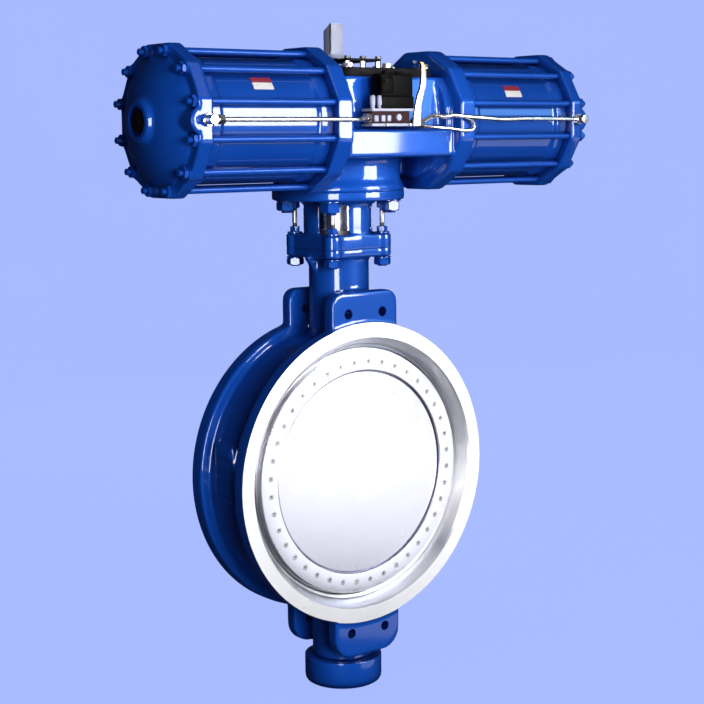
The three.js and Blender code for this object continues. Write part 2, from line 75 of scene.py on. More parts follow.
BODY_LOW, BODY_HIGH = span("valve_body")
HALF_FACE = BODY_HIGH.y
FLANGE_R = BODY_HIGH.x
NECK_TOP = BODY_HIGH.z
BOSS_END = BODY_LOW.z
FLANGE_T = 25
WEB_R = 224
MOUTH_R = 216
SPHERE_R = 205.2
SEAT_Y = 44
REAR_R = 200
LUG_HALF = 65
LUG_TOP = 291
LUG_BACK = 2
NECK_R = 48
BOSS_R = 50
EAR_CIRCLE = 70
EAR_R = 14
EAR_CORE = 60
EAR_BOLT_R = 8
EAR_T = 22
BODY_EAR_T = 14
STEM_R = 25
STEM_BORE = STEM_R + 0.3

STAND_LOW, STAND_HIGH = span("mounting_stand")
TOP_FLANGE_R = STAND_HIGH.x
TOP_FLANGE_T = 14
STAND_WALL_R = 58
STAND_BORE_R = 44
ACTUATOR_CIRCLE = 82.5

BARREL_LOW, BARREL_HIGH = span("right_barrel")
CYL_Y = (BARREL_LOW.y + BARREL_HIGH.y) / 2
CYL_Z = (BARREL_LOW.z + BARREL_HIGH.z) / 2
AXIS = (0, CYL_Y, CYL_Z)
COLLAR_R = (BARREL_HIGH.z - BARREL_LOW.z) / 2
HOUSING_LOW, HOUSING_HIGH = span("centre_housing")
INNER_FLANGE_TO = HOUSING_HIGH.x
INNER_FLANGE_FROM = 103
ROD_CIRCLE = 100
END_EAR_R = 11
END_T = 22
CAP_FROM = BARREL_HIGH.x + 0.3
CAP_FACE = CAP_FROM + END_T
BARREL_R = 90
BARREL_BORE = 85
SIDES = (("left", -1), ("right", 1))


# ---- mesh helpers ----------------------------------------------------------------------


def link(name, data):
    """A new object in the scene: a mesh, a lamp or the camera."""
    piece = bpy.data.objects.new(name, data)
    bpy.context.scene.collection.objects.link(piece)
    return piece


def from_bmesh(name, shape):
    """A new object from a bmesh made in millimetres, with its faces turned outwards."""
    bmesh.ops.remove_doubles(shape, verts=shape.verts, dist=0.001)
    bmesh.ops.recalc_face_normals(shape, faces=shape.faces)
    bmesh.ops.scale(shape, vec=(MM, MM, MM), verts=shape.verts)
    mesh = bpy.data.meshes.new(name)
    shape.to_mesh(mesh)
    shape.free()
    return link(name, mesh)


def finish(piece, material, angle=35):
    """Gives a piece its material, with smooth shading across edges flatter than the angle."""
    if material is not None:
        paint(piece, material)
    piece.data.shade_smooth()
    piece.data.set_sharp_from_angle(angle=math.radians(angle))
    if len(piece.data.materials) > 1:
        sharpen_borders(piece.data)
    return piece


def sharpen_borders(mesh):
    """Makes the edges between two materials sharp, so that a machined face shades flat."""
    shape = bmesh.new()
    shape.from_mesh(mesh)
    for edge in shape.edges:
        if len({face.material_index for face in edge.link_faces}) > 1:
            edge.smooth = False
    shape.to_mesh(mesh)
    shape.free()


def softened(profile, radius):
    """Rounds the corners of a (radius, along) profile. A point may carry its own rounding as
    a third number. The first and last points stay where they are unless the profile closes."""
    points = [tuple(p) if len(p) == 3 else (p[0], p[1], radius) for p in profile]
    closed = points[0][:2] == points[-1][:2]
    if closed:
        points = points[:-1]
    out = []
    for i, (r, along, soft) in enumerate(points):
        here = Vector((r, along))
        if not closed and i in (0, len(points) - 1):
            out.append(here)
            continue
        before = Vector(points[i - 1][:2])
        after = Vector(points[(i + 1) % len(points)][:2])
        reach = min(soft, (before - here).length * 0.45, (after - here).length * 0.45)
        if reach < 0.02:
            out.append(here)
            continue
        start = here + (before - here).normalized() * reach
        end = here + (after - here).normalized() * reach
        for step in (0, 0.25, 0.5, 0.75, 1):
            out.append(start * (1 - step) ** 2 + here * 2 * step * (1 - step) + end * step ** 2)
    if closed:
        out.append(out[0].copy())
    return out


def along_axis(axis, r, angle, along):
    """The point that a turned shape has at a radius, an angle and a distance along its axis."""
    c, s = r * math.cos(angle), r * math.sin(angle)
    return {"x": (along, c, s), "y": (c, along, s), "z": (c, s, along)}[axis]


def revolve(name, axis, profile, at=(0, 0, 0), sides=96, soft=0.8):
    """A turned shape: a (radius, along) profile swept round an axis through `at`."""
    outline = softened(profile, soft)
    closed = (outline[0] - outline[-1]).length < 1e-6
    if closed:
        outline = outline[:-1]
    shape = bmesh.new()
    rings = []
    for r, along in outline:
        if r < 1e-4:
            rings.append([shape.verts.new(along_axis(axis, 0, 0, along))])
        else:
            turn = [2 * math.pi * k / sides for k in range(sides)]
            rings.append([shape.verts.new(along_axis(axis, r, a, along)) for a in turn])
    pairs = list(zip(rings, rings[1:]))
    if closed:
        pairs.append((rings[-1], rings[0]))
    for low, high in pairs:
        for k in range(sides):
            n = (k + 1) % sides
            corners = [low[k % len(low)], low[n % len(low)], high[n % len(high)], high[k % len(high)]]
            unique = list(dict.fromkeys(corners))
            if len(unique) > 2:
                shape.faces.new(unique)
    bmesh.ops.translate(shape, vec=at, verts=shape.verts)
    return from_bmesh(name, shape)


def round_bar(name, axis, r, low, high, at=(0, 0, 0), sides=48, soft=0.6):
    return revolve(name, axis, [(0, low), (r, low), (r, high), (0, high)], at, sides, soft)


def prism(name, outline, low, high, axis="z", at=(0, 0, 0), bevel=0.0):
    """A flat outline with thickness. The outline's two numbers are the two other axes in
    X, Y, Z order."""
    shape = bmesh.new()
    place = {
        "x": lambda u, v, w: (w, u, v),
        "y": lambda u, v, w: (u, w, v),
        "z": lambda u, v, w: (u, v, w),
    }[axis]
    bottom = [shape.verts.new(place(u, v, low)) for u, v in outline]
    top = [shape.verts.new(place(u, v, high)) for u, v in outline]
    count = len(outline)
    shape.faces.new(bottom)
    shape.faces.new(list(reversed(top)))
    for k in range(count):
        n = (k + 1) % count
        shape.faces.new([bottom[k], top[k], top[n], bottom[n]])
    bmesh.ops.recalc_face_normals(shape, faces=shape.faces)
    if bevel:
        rims = [e for e in shape.edges if len({round(v.co["xyz".index(axis)], 4) for v in e.verts}) == 1]
        bmesh.ops.bevel(shape, geom=rims, offset=bevel, segments=3, profile=0.5, affect="EDGES")
    bmesh.ops.translate(shape, vec=at, verts=shape.verts)
    return from_bmesh(name, shape)


def box(name, x, y, z, bevel=0.8):
    """A block with rounded edges between two limits on each axis."""
    shape = bmesh.new()
    bmesh.ops.create_cube(shape, size=1)
    size = (x[1] - x[0], y[1] - y[0], z[1] - z[0])
    bmesh.ops.scale(shape, vec=size, verts=shape.verts)
    middle = ((x[0] + x[1]) / 2, (y[0] + y[1]) / 2, (z[0] + z[1]) / 2)
    bmesh.ops.translate(shape, vec=middle, verts=shape.verts)
    if bevel:
        bmesh.ops.bevel(shape, geom=shape.edges[:], offset=bevel, segments=3, profile=0.5, affect="EDGES")
    return from_bmesh(name, shape)


def arc(cx, cy, r, start, end, steps=8):
    """Points on an arc, its angles in degrees."""
    angles = [math.radians(start + (end - start) * k / steps) for k in range(steps + 1)]
    return [(cx + r * math.cos(a), cy + r * math.sin(a)) for a in angles]


def rounded_rectangle(half_w, half_h, corner, steps=8):
    w, h = half_w - corner, half_h - corner
    corners = ((w, h, 0), (-w, h, 90), (-w, -h, 180), (w, -h, 270))
    return [p for cx, cy, start in corners for p in arc(cx, cy, corner, start, start + 90, steps)]


def polar(r, degrees):
    return r * math.cos(math.radians(degrees)), r * math.sin(math.radians(degrees))


def hexagon(across, turn=0):
    return [polar(across / math.sqrt(3), 60 * k + turn) for k in range(6)]


def settle(piece):
    """Applies a piece's modifiers to its mesh."""
    graph = bpy.context.evaluated_depsgraph_get()
    mesh = bpy.data.meshes.new_from_object(piece.evaluated_get(graph))
    old = piece.data
    piece.modifiers.clear()
    piece.data = mesh
    bpy.data.meshes.remove(old)
    return piece


def discard(piece):
    mesh = piece.data
    bpy.data.objects.remove(piece)
    bpy.data.meshes.remove(mesh)


def joined(name, pieces):
    """Several pieces as one object, each face keeping its own material."""
    materials = []
    shape = bmesh.new()
    for piece in pieces:
        first = len(shape.faces)
        shape.from_mesh(piece.data)
        shape.faces.ensure_lookup_table()
        lookup = []
        for material in piece.data.materials:
            if material not in materials:
                materials.append(material)
            lookup.append(materials.index(material))
        for face in shape.faces[first:]:
            face.material_index = lookup[face.material_index] if lookup else 0
    mesh = bpy.data.meshes.new(name)
    shape.to_mesh(mesh)
    shape.free()
    for material in materials:
        mesh.materials.append(material)
    for piece in pieces:
        discard(piece)
    return link(name, mesh)


def cut(piece, tools, operation="DIFFERENCE"):
    """Cuts tools out of a piece. A cut face takes the tool's material."""
    tool = joined("tool", tools) if len(tools) > 1 else tools[0]
    change = piece.modifiers.new("cut", "BOOLEAN")
    change.operation = operation
    change.object = tool
    change.solver = "EXACT"
    change.use_self = len(tools) > 1
    change.material_mode = "TRANSFER"
    settle(piece)
    discard(tool)
    return piece


def cast(name, parts, material, voxel=2.5, passes=8):
    """One casting: the parts run together, with the soft fillets and edges of a sand mould."""
    piece = joined(name, parts)
    skin = piece.modifiers.new("skin", "REMESH")
    skin.mode = "VOXEL"
    skin.voxel_size = voxel * MM
    skin.use_smooth_shade = True
    soften = piece.modifiers.new("soften", "SMOOTH")
    soften.factor = 0.5
    soften.iterations = passes
    return paint(settle(piece), material)


def paint(piece, material):
    """Puts one material on every face, before the cuts are made."""
    piece.data.materials.clear()
    piece.data.materials.append(material)
    return piece


def machine(piece, tools, material):
    """Cuts the tools out one after another. The cut faces take one material."""
    for tool in tools:
        cut(piece, [paint(tool, material)])


def drill(piece, material, axis, r, low, high, at=(0, 0, 0), sides=48):
    """Cuts one round hole. Its wall takes the material."""
    machine(piece, [round_bar("drill", axis, r, low, high, at, sides)], material)


def show(piece, body, slot, *nodes):
    """A finished piece: it rides on a body and may replace CAD nodes. `slot` is not used."""
    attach(piece, body)
    if nodes:
        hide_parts(*nodes)
    return piece


def assembled(name, parts, body, slot, *nodes, angle=30):
    """Several parts as one piece, each part in its own material."""
    return show(finish(joined(name, parts), None, angle), body, slot, *nodes)


def spin(piece, degrees):
    """Turns a piece's mesh about the stem's axis."""
    piece.data.transform(Matrix.Rotation(math.radians(degrees), 4, "Z"))
    return piece


def at_corners(circle):
    """The four places on a bolt circle at 45 degrees to the pipe, as (x, y, 0)."""
    return [(*polar(circle, 45 + 90 * k), 0) for k in range(4)]


def ring_section(inner, outer, low, high):
    """The closed (radius, along) outline of a flat ring."""
    return [(inner, low), (outer, low), (outer, high), (inner, high), (inner, low)]


def both(side, near, far):
    """Two distances along the cylinders, taken to one side, with the lower one first."""
    return sorted((side * near, side * far))


def about(middle, half):
    """The two limits that lie equally far from a middle."""
    return (middle - half, middle + half)


def shade(colour, factor):
    return tuple(c * factor for c in colour)


# ---- materials -------------------------------------------------------------------------


class Paintbox:
    """The nodes of one material, with short names for the ones that are used again."""

    def __init__(self, name, base, rough, metal=0.0):
        self.material = bpy.data.materials.new(name)
        self.material.use_nodes = True
        self.tree = self.material.node_tree
        self.shader = self.tree.nodes["Principled BSDF"]
        self.shader.inputs["Base Color"].default_value = (*base, 1)
        self.shader.inputs["Roughness"].default_value = rough
        self.shader.inputs["Metallic"].default_value = metal
        self.place = self.tree.nodes.new("ShaderNodeTexCoord").outputs["Object"]
        self.height = None

    def node(self, kind, inputs=(), **settings):
        made = self.tree.nodes.new("ShaderNode" + kind)
        for key, value in settings.items():
            setattr(made, key, value)
        for key, value in dict(inputs).items():
            if hasattr(value, "is_linked"):
                self.tree.links.new(value, made.inputs[key])
            else:
                made.inputs[key].default_value = value
        return made

    def set(self, socket, value):
        """A number for the shader's own socket, or an output that feeds it."""
        if hasattr(value, "is_linked"):
            self.tree.links.new(value, self.shader.inputs[socket])
        else:
            self.shader.inputs[socket].default_value = value

    def noise(self, scale, detail=3.0, rough=0.5, place=None):
        settings = {"Vector": place or self.place, "Scale": scale, "Detail": detail, "Roughness": rough}
        return self.node("TexNoise", settings).outputs["Fac"]

    def spread(self, value, low, high, start=0.3, end=0.7):
        """Stretches a 0-to-1 value to run from low to high."""
        inputs = {"Value": value, "From Min": start, "From Max": end, "To Min": low, "To Max": high}
        return self.node("MapRange", inputs).outputs["Result"]

    def mix(self, factor, first, second):
        """A colour between two others."""
        made = self.node("Mix", data_type="RGBA")
        for index, value in ((0, factor), (6, first), (7, second)):
            if hasattr(value, "is_linked"):
                self.tree.links.new(value, made.inputs[index])
            else:
                made.inputs[index].default_value = value if index == 0 else (*value, 1)
        return made.outputs[2]

    def bump(self, height, strength, distance):
        """Adds one more layer of relief to the surface."""
        inputs = {"Height": height, "Strength": strength, "Distance": distance}
        if self.height is not None:
            inputs["Normal"] = self.height
        self.height = self.node("Bump", inputs).outputs["Normal"]
        self.set("Normal", self.height)
        return self.height

    def cloud(self, scale, detail, most, first, second):
        """A cloudy mixture of two colours, with at most so much of the second."""
        return self.mix(self.spread(self.noise(scale, detail), 0.0, most), first, second)

    def uneven(self, scale, detail, low, high):
        """A roughness that wanders between two values."""
        self.set("Roughness", self.spread(self.noise(scale, detail), low, high))

    def crevices(self, distance):
        """0 in a corner or a groove, 1 on an open surface: the mask for painted shade."""
        return self.node("AmbientOcclusion", {"Distance": distance}, samples=6).outputs["AO"]


BLUE = (0.004, 0.062, 0.40)
LIGHT_BLUE = (0.006, 0.075, 0.44)
# the dark blue that is painted into corners and recesses as painted shade
PAINTED_SHADE_BLUE = (0.001, 0.012, 0.12)


def enamel(name, relief=0.0, coat=0.9):
    """Blue enamel with painted shade, darker blue in its corners and recesses. Castings show the sand's
    relief through it, and a thin coat shines less."""
    paints = Paintbox(name, BLUE, 0.3)
    # painted shade: the enamel is mixed towards a dark blue in corners and recesses, where shade falls
    painted_shade_mask = paints.spread(paints.crevices(0.03), 0.0, 1.0, 0.35, 0.9)
    patches = paints.cloud(9, 3, 0.35, BLUE, LIGHT_BLUE)
    paints.set("Base Color", paints.mix(painted_shade_mask, PAINTED_SHADE_BLUE, patches))
    paints.uneven(14, 4, 0.38, 0.48)
    paints.set("Specular IOR Level", 0.65)
    paints.set("Specular Tint", (0.07, 0.27, 1.0, 1))
    paints.set("Coat Weight", coat)
    paints.set("Coat Roughness", 0.06)
    paints.set("Coat IOR", 1.55)
    if relief:
        paints.bump(paints.noise(26, 4, 0.55), 0.35, 0.0016 * relief)
        paints.bump(paints.noise(210, 3, 0.6), 0.22, 0.0004 * relief)
    paints.bump(paints.noise(420, 2), 0.10, 0.0003)
    return paints.material


def rings(paints, axis, pitch):
    """Fine turned grooves round an axis: a wave that counts out from the centre."""
    parts = paints.node("SeparateXYZ", {"Vector": paints.place}).outputs
    first, second = [parts[k] for k in "XYZ" if k != axis]
    flat = paints.node("CombineXYZ", {"X": first, "Y": second}).outputs["Vector"]
    distance = paints.node("VectorMath", {0: flat}, operation="LENGTH").outputs["Value"]
    per_metre = 2 * math.pi / (pitch * MM)
    turns = paints.node("Math", {0: distance, 1: per_metre}, operation="MULTIPLY").outputs[0]
    return paints.node("Math", {0: turns}, operation="SINE").outputs[0]


def turned_steel(name, base, rough, axis="Y", pitch=1.1, gaps=1.0):
    """Bright steel with the fine rings that a lathe leaves, and faint handling marks. Narrow gaps get
    painted shade: `gaps` is how much of its brightness a narrow gap keeps."""
    paints = Paintbox(name, base, rough, 1.0)
    cloud = paints.noise(5, 4, 0.6)
    # painted shade: the steel is darkened in narrow gaps and corners, where shadow falls
    painted_shade_mask = paints.spread(paints.crevices(0.016), 0.0, 1.0, 0.35, 0.8)
    bright = paints.mix(paints.spread(cloud, 0.0, 0.5), base, shade(base, 0.86))
    paints.set("Base Color", paints.mix(painted_shade_mask, shade(base, gaps), bright))
    marks = paints.spread(paints.noise(38, 5, 0.65), -0.05, 0.07)
    smear = paints.spread(cloud, rough - 0.05, rough + 0.08)
    paints.set("Roughness", paints.node("Math", {0: smear, 1: marks}, operation="ADD").outputs[0])
    paints.bump(rings(paints, axis, pitch), 0.12, 0.00012)
    paints.bump(paints.noise(240, 3), 0.06, 0.0002)
    return paints.material


def plain_metal(name, base, rough, grain=180, depth=0.0002, metallic=1.0):
    """Cut or drawn metal with a slight grain, and painted shade that darkens its corners."""
    paints = Paintbox(name, base, rough, metallic)
    # painted shade: the metal is darkened to under half its colour in corners and recesses
    painted_shade_mask = paints.spread(paints.crevices(0.006), 0.0, 1.0, 0.3, 0.9)
    cloud = paints.cloud(22, 4, 0.6, base, shade(base, 0.8))
    paints.set("Base Color", paints.mix(painted_shade_mask, shade(base, 0.45), cloud))
    paints.uneven(60, 4, rough - 0.06, rough + 0.1)
    paints.bump(paints.noise(grain, 4, 0.6), 0.12, depth)
    return paints.material


def plastic(name, base, rough, grain=700, strength=0.25):
    """Moulded plastic or rubber with a fine spark texture."""
    paints = Paintbox(name, base, rough)
    lighter = tuple(min(1, c * 1.6 + 0.002) for c in base)
    paints.set("Base Color", paints.cloud(30, 3, 0.5, base, lighter))
    paints.uneven(80, 3, rough - 0.06, rough + 0.08)
    paints.set("Specular IOR Level", 0.015)
    paints.bump(paints.noise(grain, 2, 0.7), strength, 0.0002)
    return paints.material


def black_paint():
    paints = Paintbox("black_paint", (0.012, 0.012, 0.014), 0.35)
    # painted shade: the black is made still darker in corners and recesses
    painted_shade_mask = paints.spread(paints.crevices(0.006), 0.0, 1.0, 0.3, 0.9)
    paints.set("Base Color", paints.mix(painted_shade_mask, (0.002, 0.002, 0.003), (0.010, 0.010, 0.012)))
    paints.uneven(40, 4, 0.28, 0.45)
    paints.set("Specular IOR Level", 0.015)
    paints.bump(paints.noise(260, 3), 0.3, 0.0003)
    return paints.material


def printed_foil(name, base):
    """A name plate's thin foil, left blank."""
    paints = Paintbox(name, base, 0.32)
    paints.set("Base Color", paints.cloud(90, 3, 0.3, base, shade(base, 0.8)))
    paints.uneven(120, 3, 0.26, 0.4)
    paints.bump(paints.noise(500, 2), 0.08, 0.0001)
    return paints.material


def strip_metal():
    """Bright sheet that turns straw-coloured at its upper end."""
    bright, straw = (0.9, 0.86, 0.84), (0.50, 0.26, 0.07)
    paints = Paintbox("strip_metal", bright, 0.28, 1.0)
    height = paints.node("SeparateXYZ", {"Vector": paints.place}).outputs["Z"]
    warm = paints.spread(height, 0.0, 1.0, 0.600, 0.634)
    paints.set("Base Color", paints.mix(warm, bright, straw))
    paints.uneven(60, 4, 0.22, 0.38)
    paints.bump(paints.noise(180, 4, 0.6), 0.12, 0.0002)
    return paints.material


CAST_BLUE = enamel("cast_blue_enamel", 1.0)
ROUGH_BLUE = enamel("rough_cast_blue_enamel", 2.6)
SMOOTH_BLUE = enamel("smooth_blue_enamel")
ROD_BLUE = enamel("thin_blue_paint", coat=0.12)
FACED_STEEL = turned_steel("faced_steel", (0.96, 0.96, 0.98), 0.34, gaps=0.04)
DISC_STEEL = turned_steel("disc_steel", (0.84, 0.84, 0.95), 0.30, pitch=1.6, gaps=0.7)
SHAFT_STEEL = turned_steel("shaft_steel", (0.78, 0.78, 0.80), 0.25, axis="Z")
DARK_STEEL = plain_metal("dark_steel", (0.30, 0.30, 0.32), 0.38)
BOLT_STEEL = plain_metal("bolt_steel", (0.62, 0.62, 0.64), 0.33)
BRONZE = plain_metal("bearing_bronze", (0.62, 0.42, 0.20), 0.36)
ALLOY = plain_metal("piston_alloy", (0.78, 0.78, 0.80), 0.33)
TUBE_METAL = plain_metal("tube_metal", (0.90, 0.86, 0.84), 0.22)
SHEET_METAL = plain_metal("sheet_metal", (0.36, 0.38, 0.52), 0.5, metallic=0.0)
RUBBER = plastic("seal_rubber", (0.012, 0.012, 0.013), 0.6)
GRAPHITE = plastic("packing_graphite", (0.03, 0.03, 0.034), 0.5, 300, 0.5)
BLACK_PLASTIC = plastic("black_plastic", (0.003, 0.003, 0.003), 0.40)
BLACK_PAINT = black_paint()
BROWN_BODY = plastic("brown_body", (0.035, 0.016, 0.018), 0.45)
CAST_STEEL = plain_metal("cast_steel", (0.74, 0.74, 0.77), 0.42, 90, 0.0008)
STRIP_METAL = strip_metal()
FOIL_WHITE = printed_foil("foil_white", (0.86, 0.84, 0.80))
FOIL_RED = printed_foil("foil_red", (0.32, 0.03, 0.05))


# ---- fixings ---------------------------------------------------------------------------


def nut(name, axis, at, low, across, thick, material, turn):
    """A hexagon nut or bolt head: chamfered top and bottom."""
    base = prism(name, hexagon(across, turn), low, low + thick, axis, at)
    r = across / math.sqrt(3) + 0.01
    chamfer = min(thick * 0.22, across * 0.09)
    flat = across / 2 * 0.97
    rim = flat + (r - flat) * 0.15
    under, over = low - 0.01, low + thick + 0.01
    section = [
        (0, under), (rim, under), (r + 0.3, low + chamfer), (r + 0.3, low + thick - chamfer),
        (rim, over), (0, over),
    ]
    cut(base, [revolve("tool", axis, section, at, 48, 0)], "INTERSECT")
    return finish(base, material, 28)


def thread(name, axis, r, low, high, at, material, pitch=1.75, sides=24, plain=()):
    """A round bar with a fine thread along it, except between the two limits in `plain`."""
    depth = pitch * 0.45
    profile = [(0, low), (r - depth, low)]
    along = low + pitch * 0.4
    while along < high - pitch:
        if plain and plain[0] < along < plain[1]:
            profile += [(r, along, 0), (r, plain[1], 0)]
            along = plain[1] + pitch * 0.5
            continue
        profile += [(r, along, 0), (r - depth, along + pitch / 2, 0)]
        along += pitch
    profile += [(r - depth, high - 0.3), (r - depth - 0.4, high), (0, high)]
    bar = revolve(name, axis, profile, at, sides, 0)
    return finish(bar, material, 50)


def washer(name, axis, at, low, r, hole, thick, material):
    """A flat ring that lies on `low`."""
    section = ring_section(hole, r, low, low + thick)
    return finish(revolve(name, axis, section, at, 40, 0.3), material)


def socket_screw(name, axis, at, face, r, sink, material, way=1):
    """The head of a cap screw with a round recess for its key. `way` is the side it faces."""
    profile = [
        (0, face - way * sink), (r * 0.5, face - way * sink), (r * 0.55, face), (r, face),
        (r, face - way * (sink + 2)), (0, face - way * (sink + 2)),
    ]
    head = revolve(name, axis, profile, at, 20, 0.25)
    return finish(head, material, 30)


# ---- the valve's body ------------------------------------------------------------------

SEAT_FLOOR = 262
PACK_R = 36
BUSH_R = 31
LUG_HOLE_R = 8
LUG_HOLE_X = 34
LUG_HOLE_Z = 257
LUG_CORNER = 20
LUG_LOW_CORNER = 34
LUG_BOTTOM = 297


def bore_profile():
    """The bore from the rear face, through the round pocket, to the front face."""
    beyond = HALF_FACE + 6
    pocket = []
    for step in range(13):
        y = SEAT_Y - 2 * SEAT_Y * step / 12
        pocket.append((math.sqrt(SPHERE_R ** 2 - y ** 2), y))
    mouth = math.sqrt(SPHERE_R ** 2 - SEAT_Y ** 2)
    rear = [(0, beyond), (REAR_R + 3, beyond), (REAR_R + 3, HALF_FACE), (REAR_R, HALF_FACE - 3)]
    seat = [(mouth, -SEAT_Y - 1), (MOUTH_R - 11, -SEAT_Y - 3)]
    lip = MOUTH_R + 2.5
    front = [(MOUTH_R, -HALF_FACE + 3), (lip, -HALF_FACE), (lip, -beyond), (0, -beyond)]
    return rear + pocket + seat + front


def lug_outline(side):
    """The four-cornered plate that stands out of a flange, at the top or the bottom."""
    tip = LUG_TOP if side > 0 else LUG_BOTTOM
    corner = LUG_CORNER if side > 0 else LUG_LOW_CORNER
    root = 175
    w, h = LUG_HALF - corner, tip - corner
    corners = arc(w, h, corner, 0, 90, 10) + arc(-w, h, corner, 90, 180, 10)
    points = [(LUG_HALF, root)] + corners + [(-LUG_HALF, root)]
    return [(x, side * z) for x, z in points]


def ear_outline():
    """Four round ears at 45 degrees on a round core, with hollow flanks between them."""
    points = []
    for k in range(4):
        middle = 45 + 90 * k
        points += arc(*polar(EAR_CIRCLE, middle), EAR_R, middle - 90, middle + 90, 14)
        points.append(polar(EAR_CORE, middle + 45))
    return points


def valve_body():
    """One casting, machined on its faces, in its bore and at its seats."""
    front, back = -HALF_FACE - 7, HALF_FACE + 7
    inner_front, inner_back = -HALF_FACE + FLANGE_T, HALF_FACE - FLANGE_T
    wall = [
        (REAR_R - 10, front), (FLANGE_R, front), (FLANGE_R, inner_front), (WEB_R, inner_front + 2),
        (WEB_R, inner_back - 2), (FLANGE_R, inner_back), (FLANGE_R, back), (REAR_R - 10, back),
        (REAR_R - 10, front),
    ]
    parts = [revolve("ring", "y", wall, sides=180, soft=3)]
    for side in (1, -1):
        outline = lug_outline(side)
        parts.append(prism("lug", outline, -HALF_FACE + LUG_BACK, inner_front, "y", bevel=2.5))
        parts.append(prism("lug", outline, inner_back, HALF_FACE - LUG_BACK, "y", bevel=2.5))
    parts.append(round_bar("neck", "z", NECK_R, 190, NECK_TOP, sides=96, soft=0.8))
    parts.append(round_bar("boss", "z", BOSS_R, BOSS_END, -190, sides=96, soft=2))
    parts.append(prism("ears", ear_outline(), NECK_TOP - BODY_EAR_T, NECK_TOP + 2, bevel=1.5))
    for side in (1, -1):
        rib = [(NECK_R - 8, 0), (66, 0), (NECK_R - 8, 40)]
        gusset = [(side * u, NECK_TOP - BODY_EAR_T - v + 2) for u, v in rib]
        parts.append(prism("gusset", gusset, -6, 6, "y"))
    parts.append(box("pad", (-WEB_R - 3, -WEB_R + 16), (-24, 26), (-22, 64), 2.5))
    for z in (-8, 12, 32, 50):
        parts.append(box("bar", (-WEB_R - 5.5, -WEB_R + 4), (-17, 19), (z - 3.5, z + 3.5), 1.5))
    body = cast("valve_body_casting", parts, CAST_BLUE)
    tools = [
        paint(revolve("bore", "y", bore_profile(), sides=192, soft=0.6), FACED_STEEL),
        paint(round_bar("face", "y", 330, -HALF_FACE - 20, -HALF_FACE), FACED_STEEL),
        paint(round_bar("face", "y", 330, HALF_FACE, HALF_FACE + 20), FACED_STEEL),
        paint(round_bar("top", "z", 130, NECK_TOP, NECK_TOP + 20), SMOOTH_BLUE),
        paint(round_bar("chamber", "z", PACK_R + 0.3, SEAT_FLOOR, NECK_TOP + 22), FACED_STEEL),
        paint(round_bar("bush_seat", "z", BUSH_R + 0.3, 180, NECK_TOP), FACED_STEEL),
        paint(round_bar("bush_seat", "z", BUSH_R + 0.3, BOSS_END - 20, -180), FACED_STEEL),
        paint(round_bar("end", "z", 90, BOSS_END - 30, BOSS_END), FACED_STEEL),
    ]
    for at in at_corners(EAR_CIRCLE):
        hole = round_bar("hole", "z", EAR_BOLT_R + 0.6, NECK_TOP - 40, NECK_TOP + 10, at, 32)
        tools.append(paint(hole, CAST_BLUE))
    for side in (1, -1):
        for x in (-LUG_HOLE_X, LUG_HOLE_X):
            at = (x, 0, side * LUG_HOLE_Z)
            tools.append(paint(round_bar("hole", "y", LUG_HOLE_R, -90, 90, at, 32), CAST_BLUE))
    for tool in tools:
        cut(body, [tool])
    show(finish(body, None, 38), "frame", "enamel_blue", "valve_body")


# ---- the disc and what turns with it ---------------------------------------------------

DISC_R = 197
DISC_SHOULDER = -38
HUB_R = 44
HUB_HALF = 193
HUB_END_R = 34
CLAMP_LOW, CLAMP_HIGH = span("disc_retaining_ring")
CLAMP_R = CLAMP_HIGH.x
CLAMP_INNER = 165
CLAMP_SCREWS = 40
TURNED_OFF = 240
SCREW_CIRCLE = 178.5
SEAL_LOW, SEAL_HIGH = span("disc_seal_ring")
SEAL_OUTER = SEAL_HIGH.x
SEAL_INNER = 176
PIN_LOW, PIN_HIGH = span("disc_pin")
PIN_Z = (PIN_LOW.z + PIN_HIGH.z) / 2
PIN_HOLE_R = 9.3
STEM_LOW, STEM_HIGH = span("stem")
YOKE_TURN = -45
FLAT_HALF = 19
FLAT_FROM = 490


def disc():
    """A cast disc with a stem hub across its back, machined on its front and its rim."""
    shell = [(0, -60), (DISC_R + 2, -60), (DISC_R + 2, -20), (150, -8), (60, 14), (0, 16)]
    hub = [
        (0, -HUB_HALF), (HUB_END_R, -HUB_HALF), (HUB_END_R, -172), (HUB_R, -150), (HUB_R, 150),
        (HUB_END_R, 172), (HUB_END_R, HUB_HALF), (0, HUB_HALF),
    ]
    parts = [revolve("shell", "y", shell, sides=160, soft=2), revolve("hub", "z", hub, soft=8)]
    body = cast("disc_casting", parts, CAST_STEEL)
    boss, ledge = CLAMP_INNER - 2, SEAL_INNER - 0.3
    front = [
        (0, -52), (boss - 2, -52), (boss, -50), (boss, CLAMP_HIGH.y + 0.3),
        (ledge, CLAMP_HIGH.y + 0.3), (ledge, DISC_SHOULDER), (TURNED_OFF, DISC_SHOULDER),
        (TURNED_OFF, -90), (0, -90),
    ]
    rim = ring_section(DISC_R, TURNED_OFF, -90, 0)
    turning = [
        revolve("front", "y", front, sides=192, soft=0.3),
        revolve("rim", "y", rim, sides=192, soft=0),
    ]
    machine(body, turning, DISC_STEEL)
    drill(body, DISC_STEEL, "z", STEM_BORE, -210, 210, sides=72)
    drill(body, DISC_STEEL, "y", PIN_HOLE_R, -45, 80, (0, 0, PIN_Z))
    show(finish(body, None, 38), "rotor", "machined_steel", "disc")


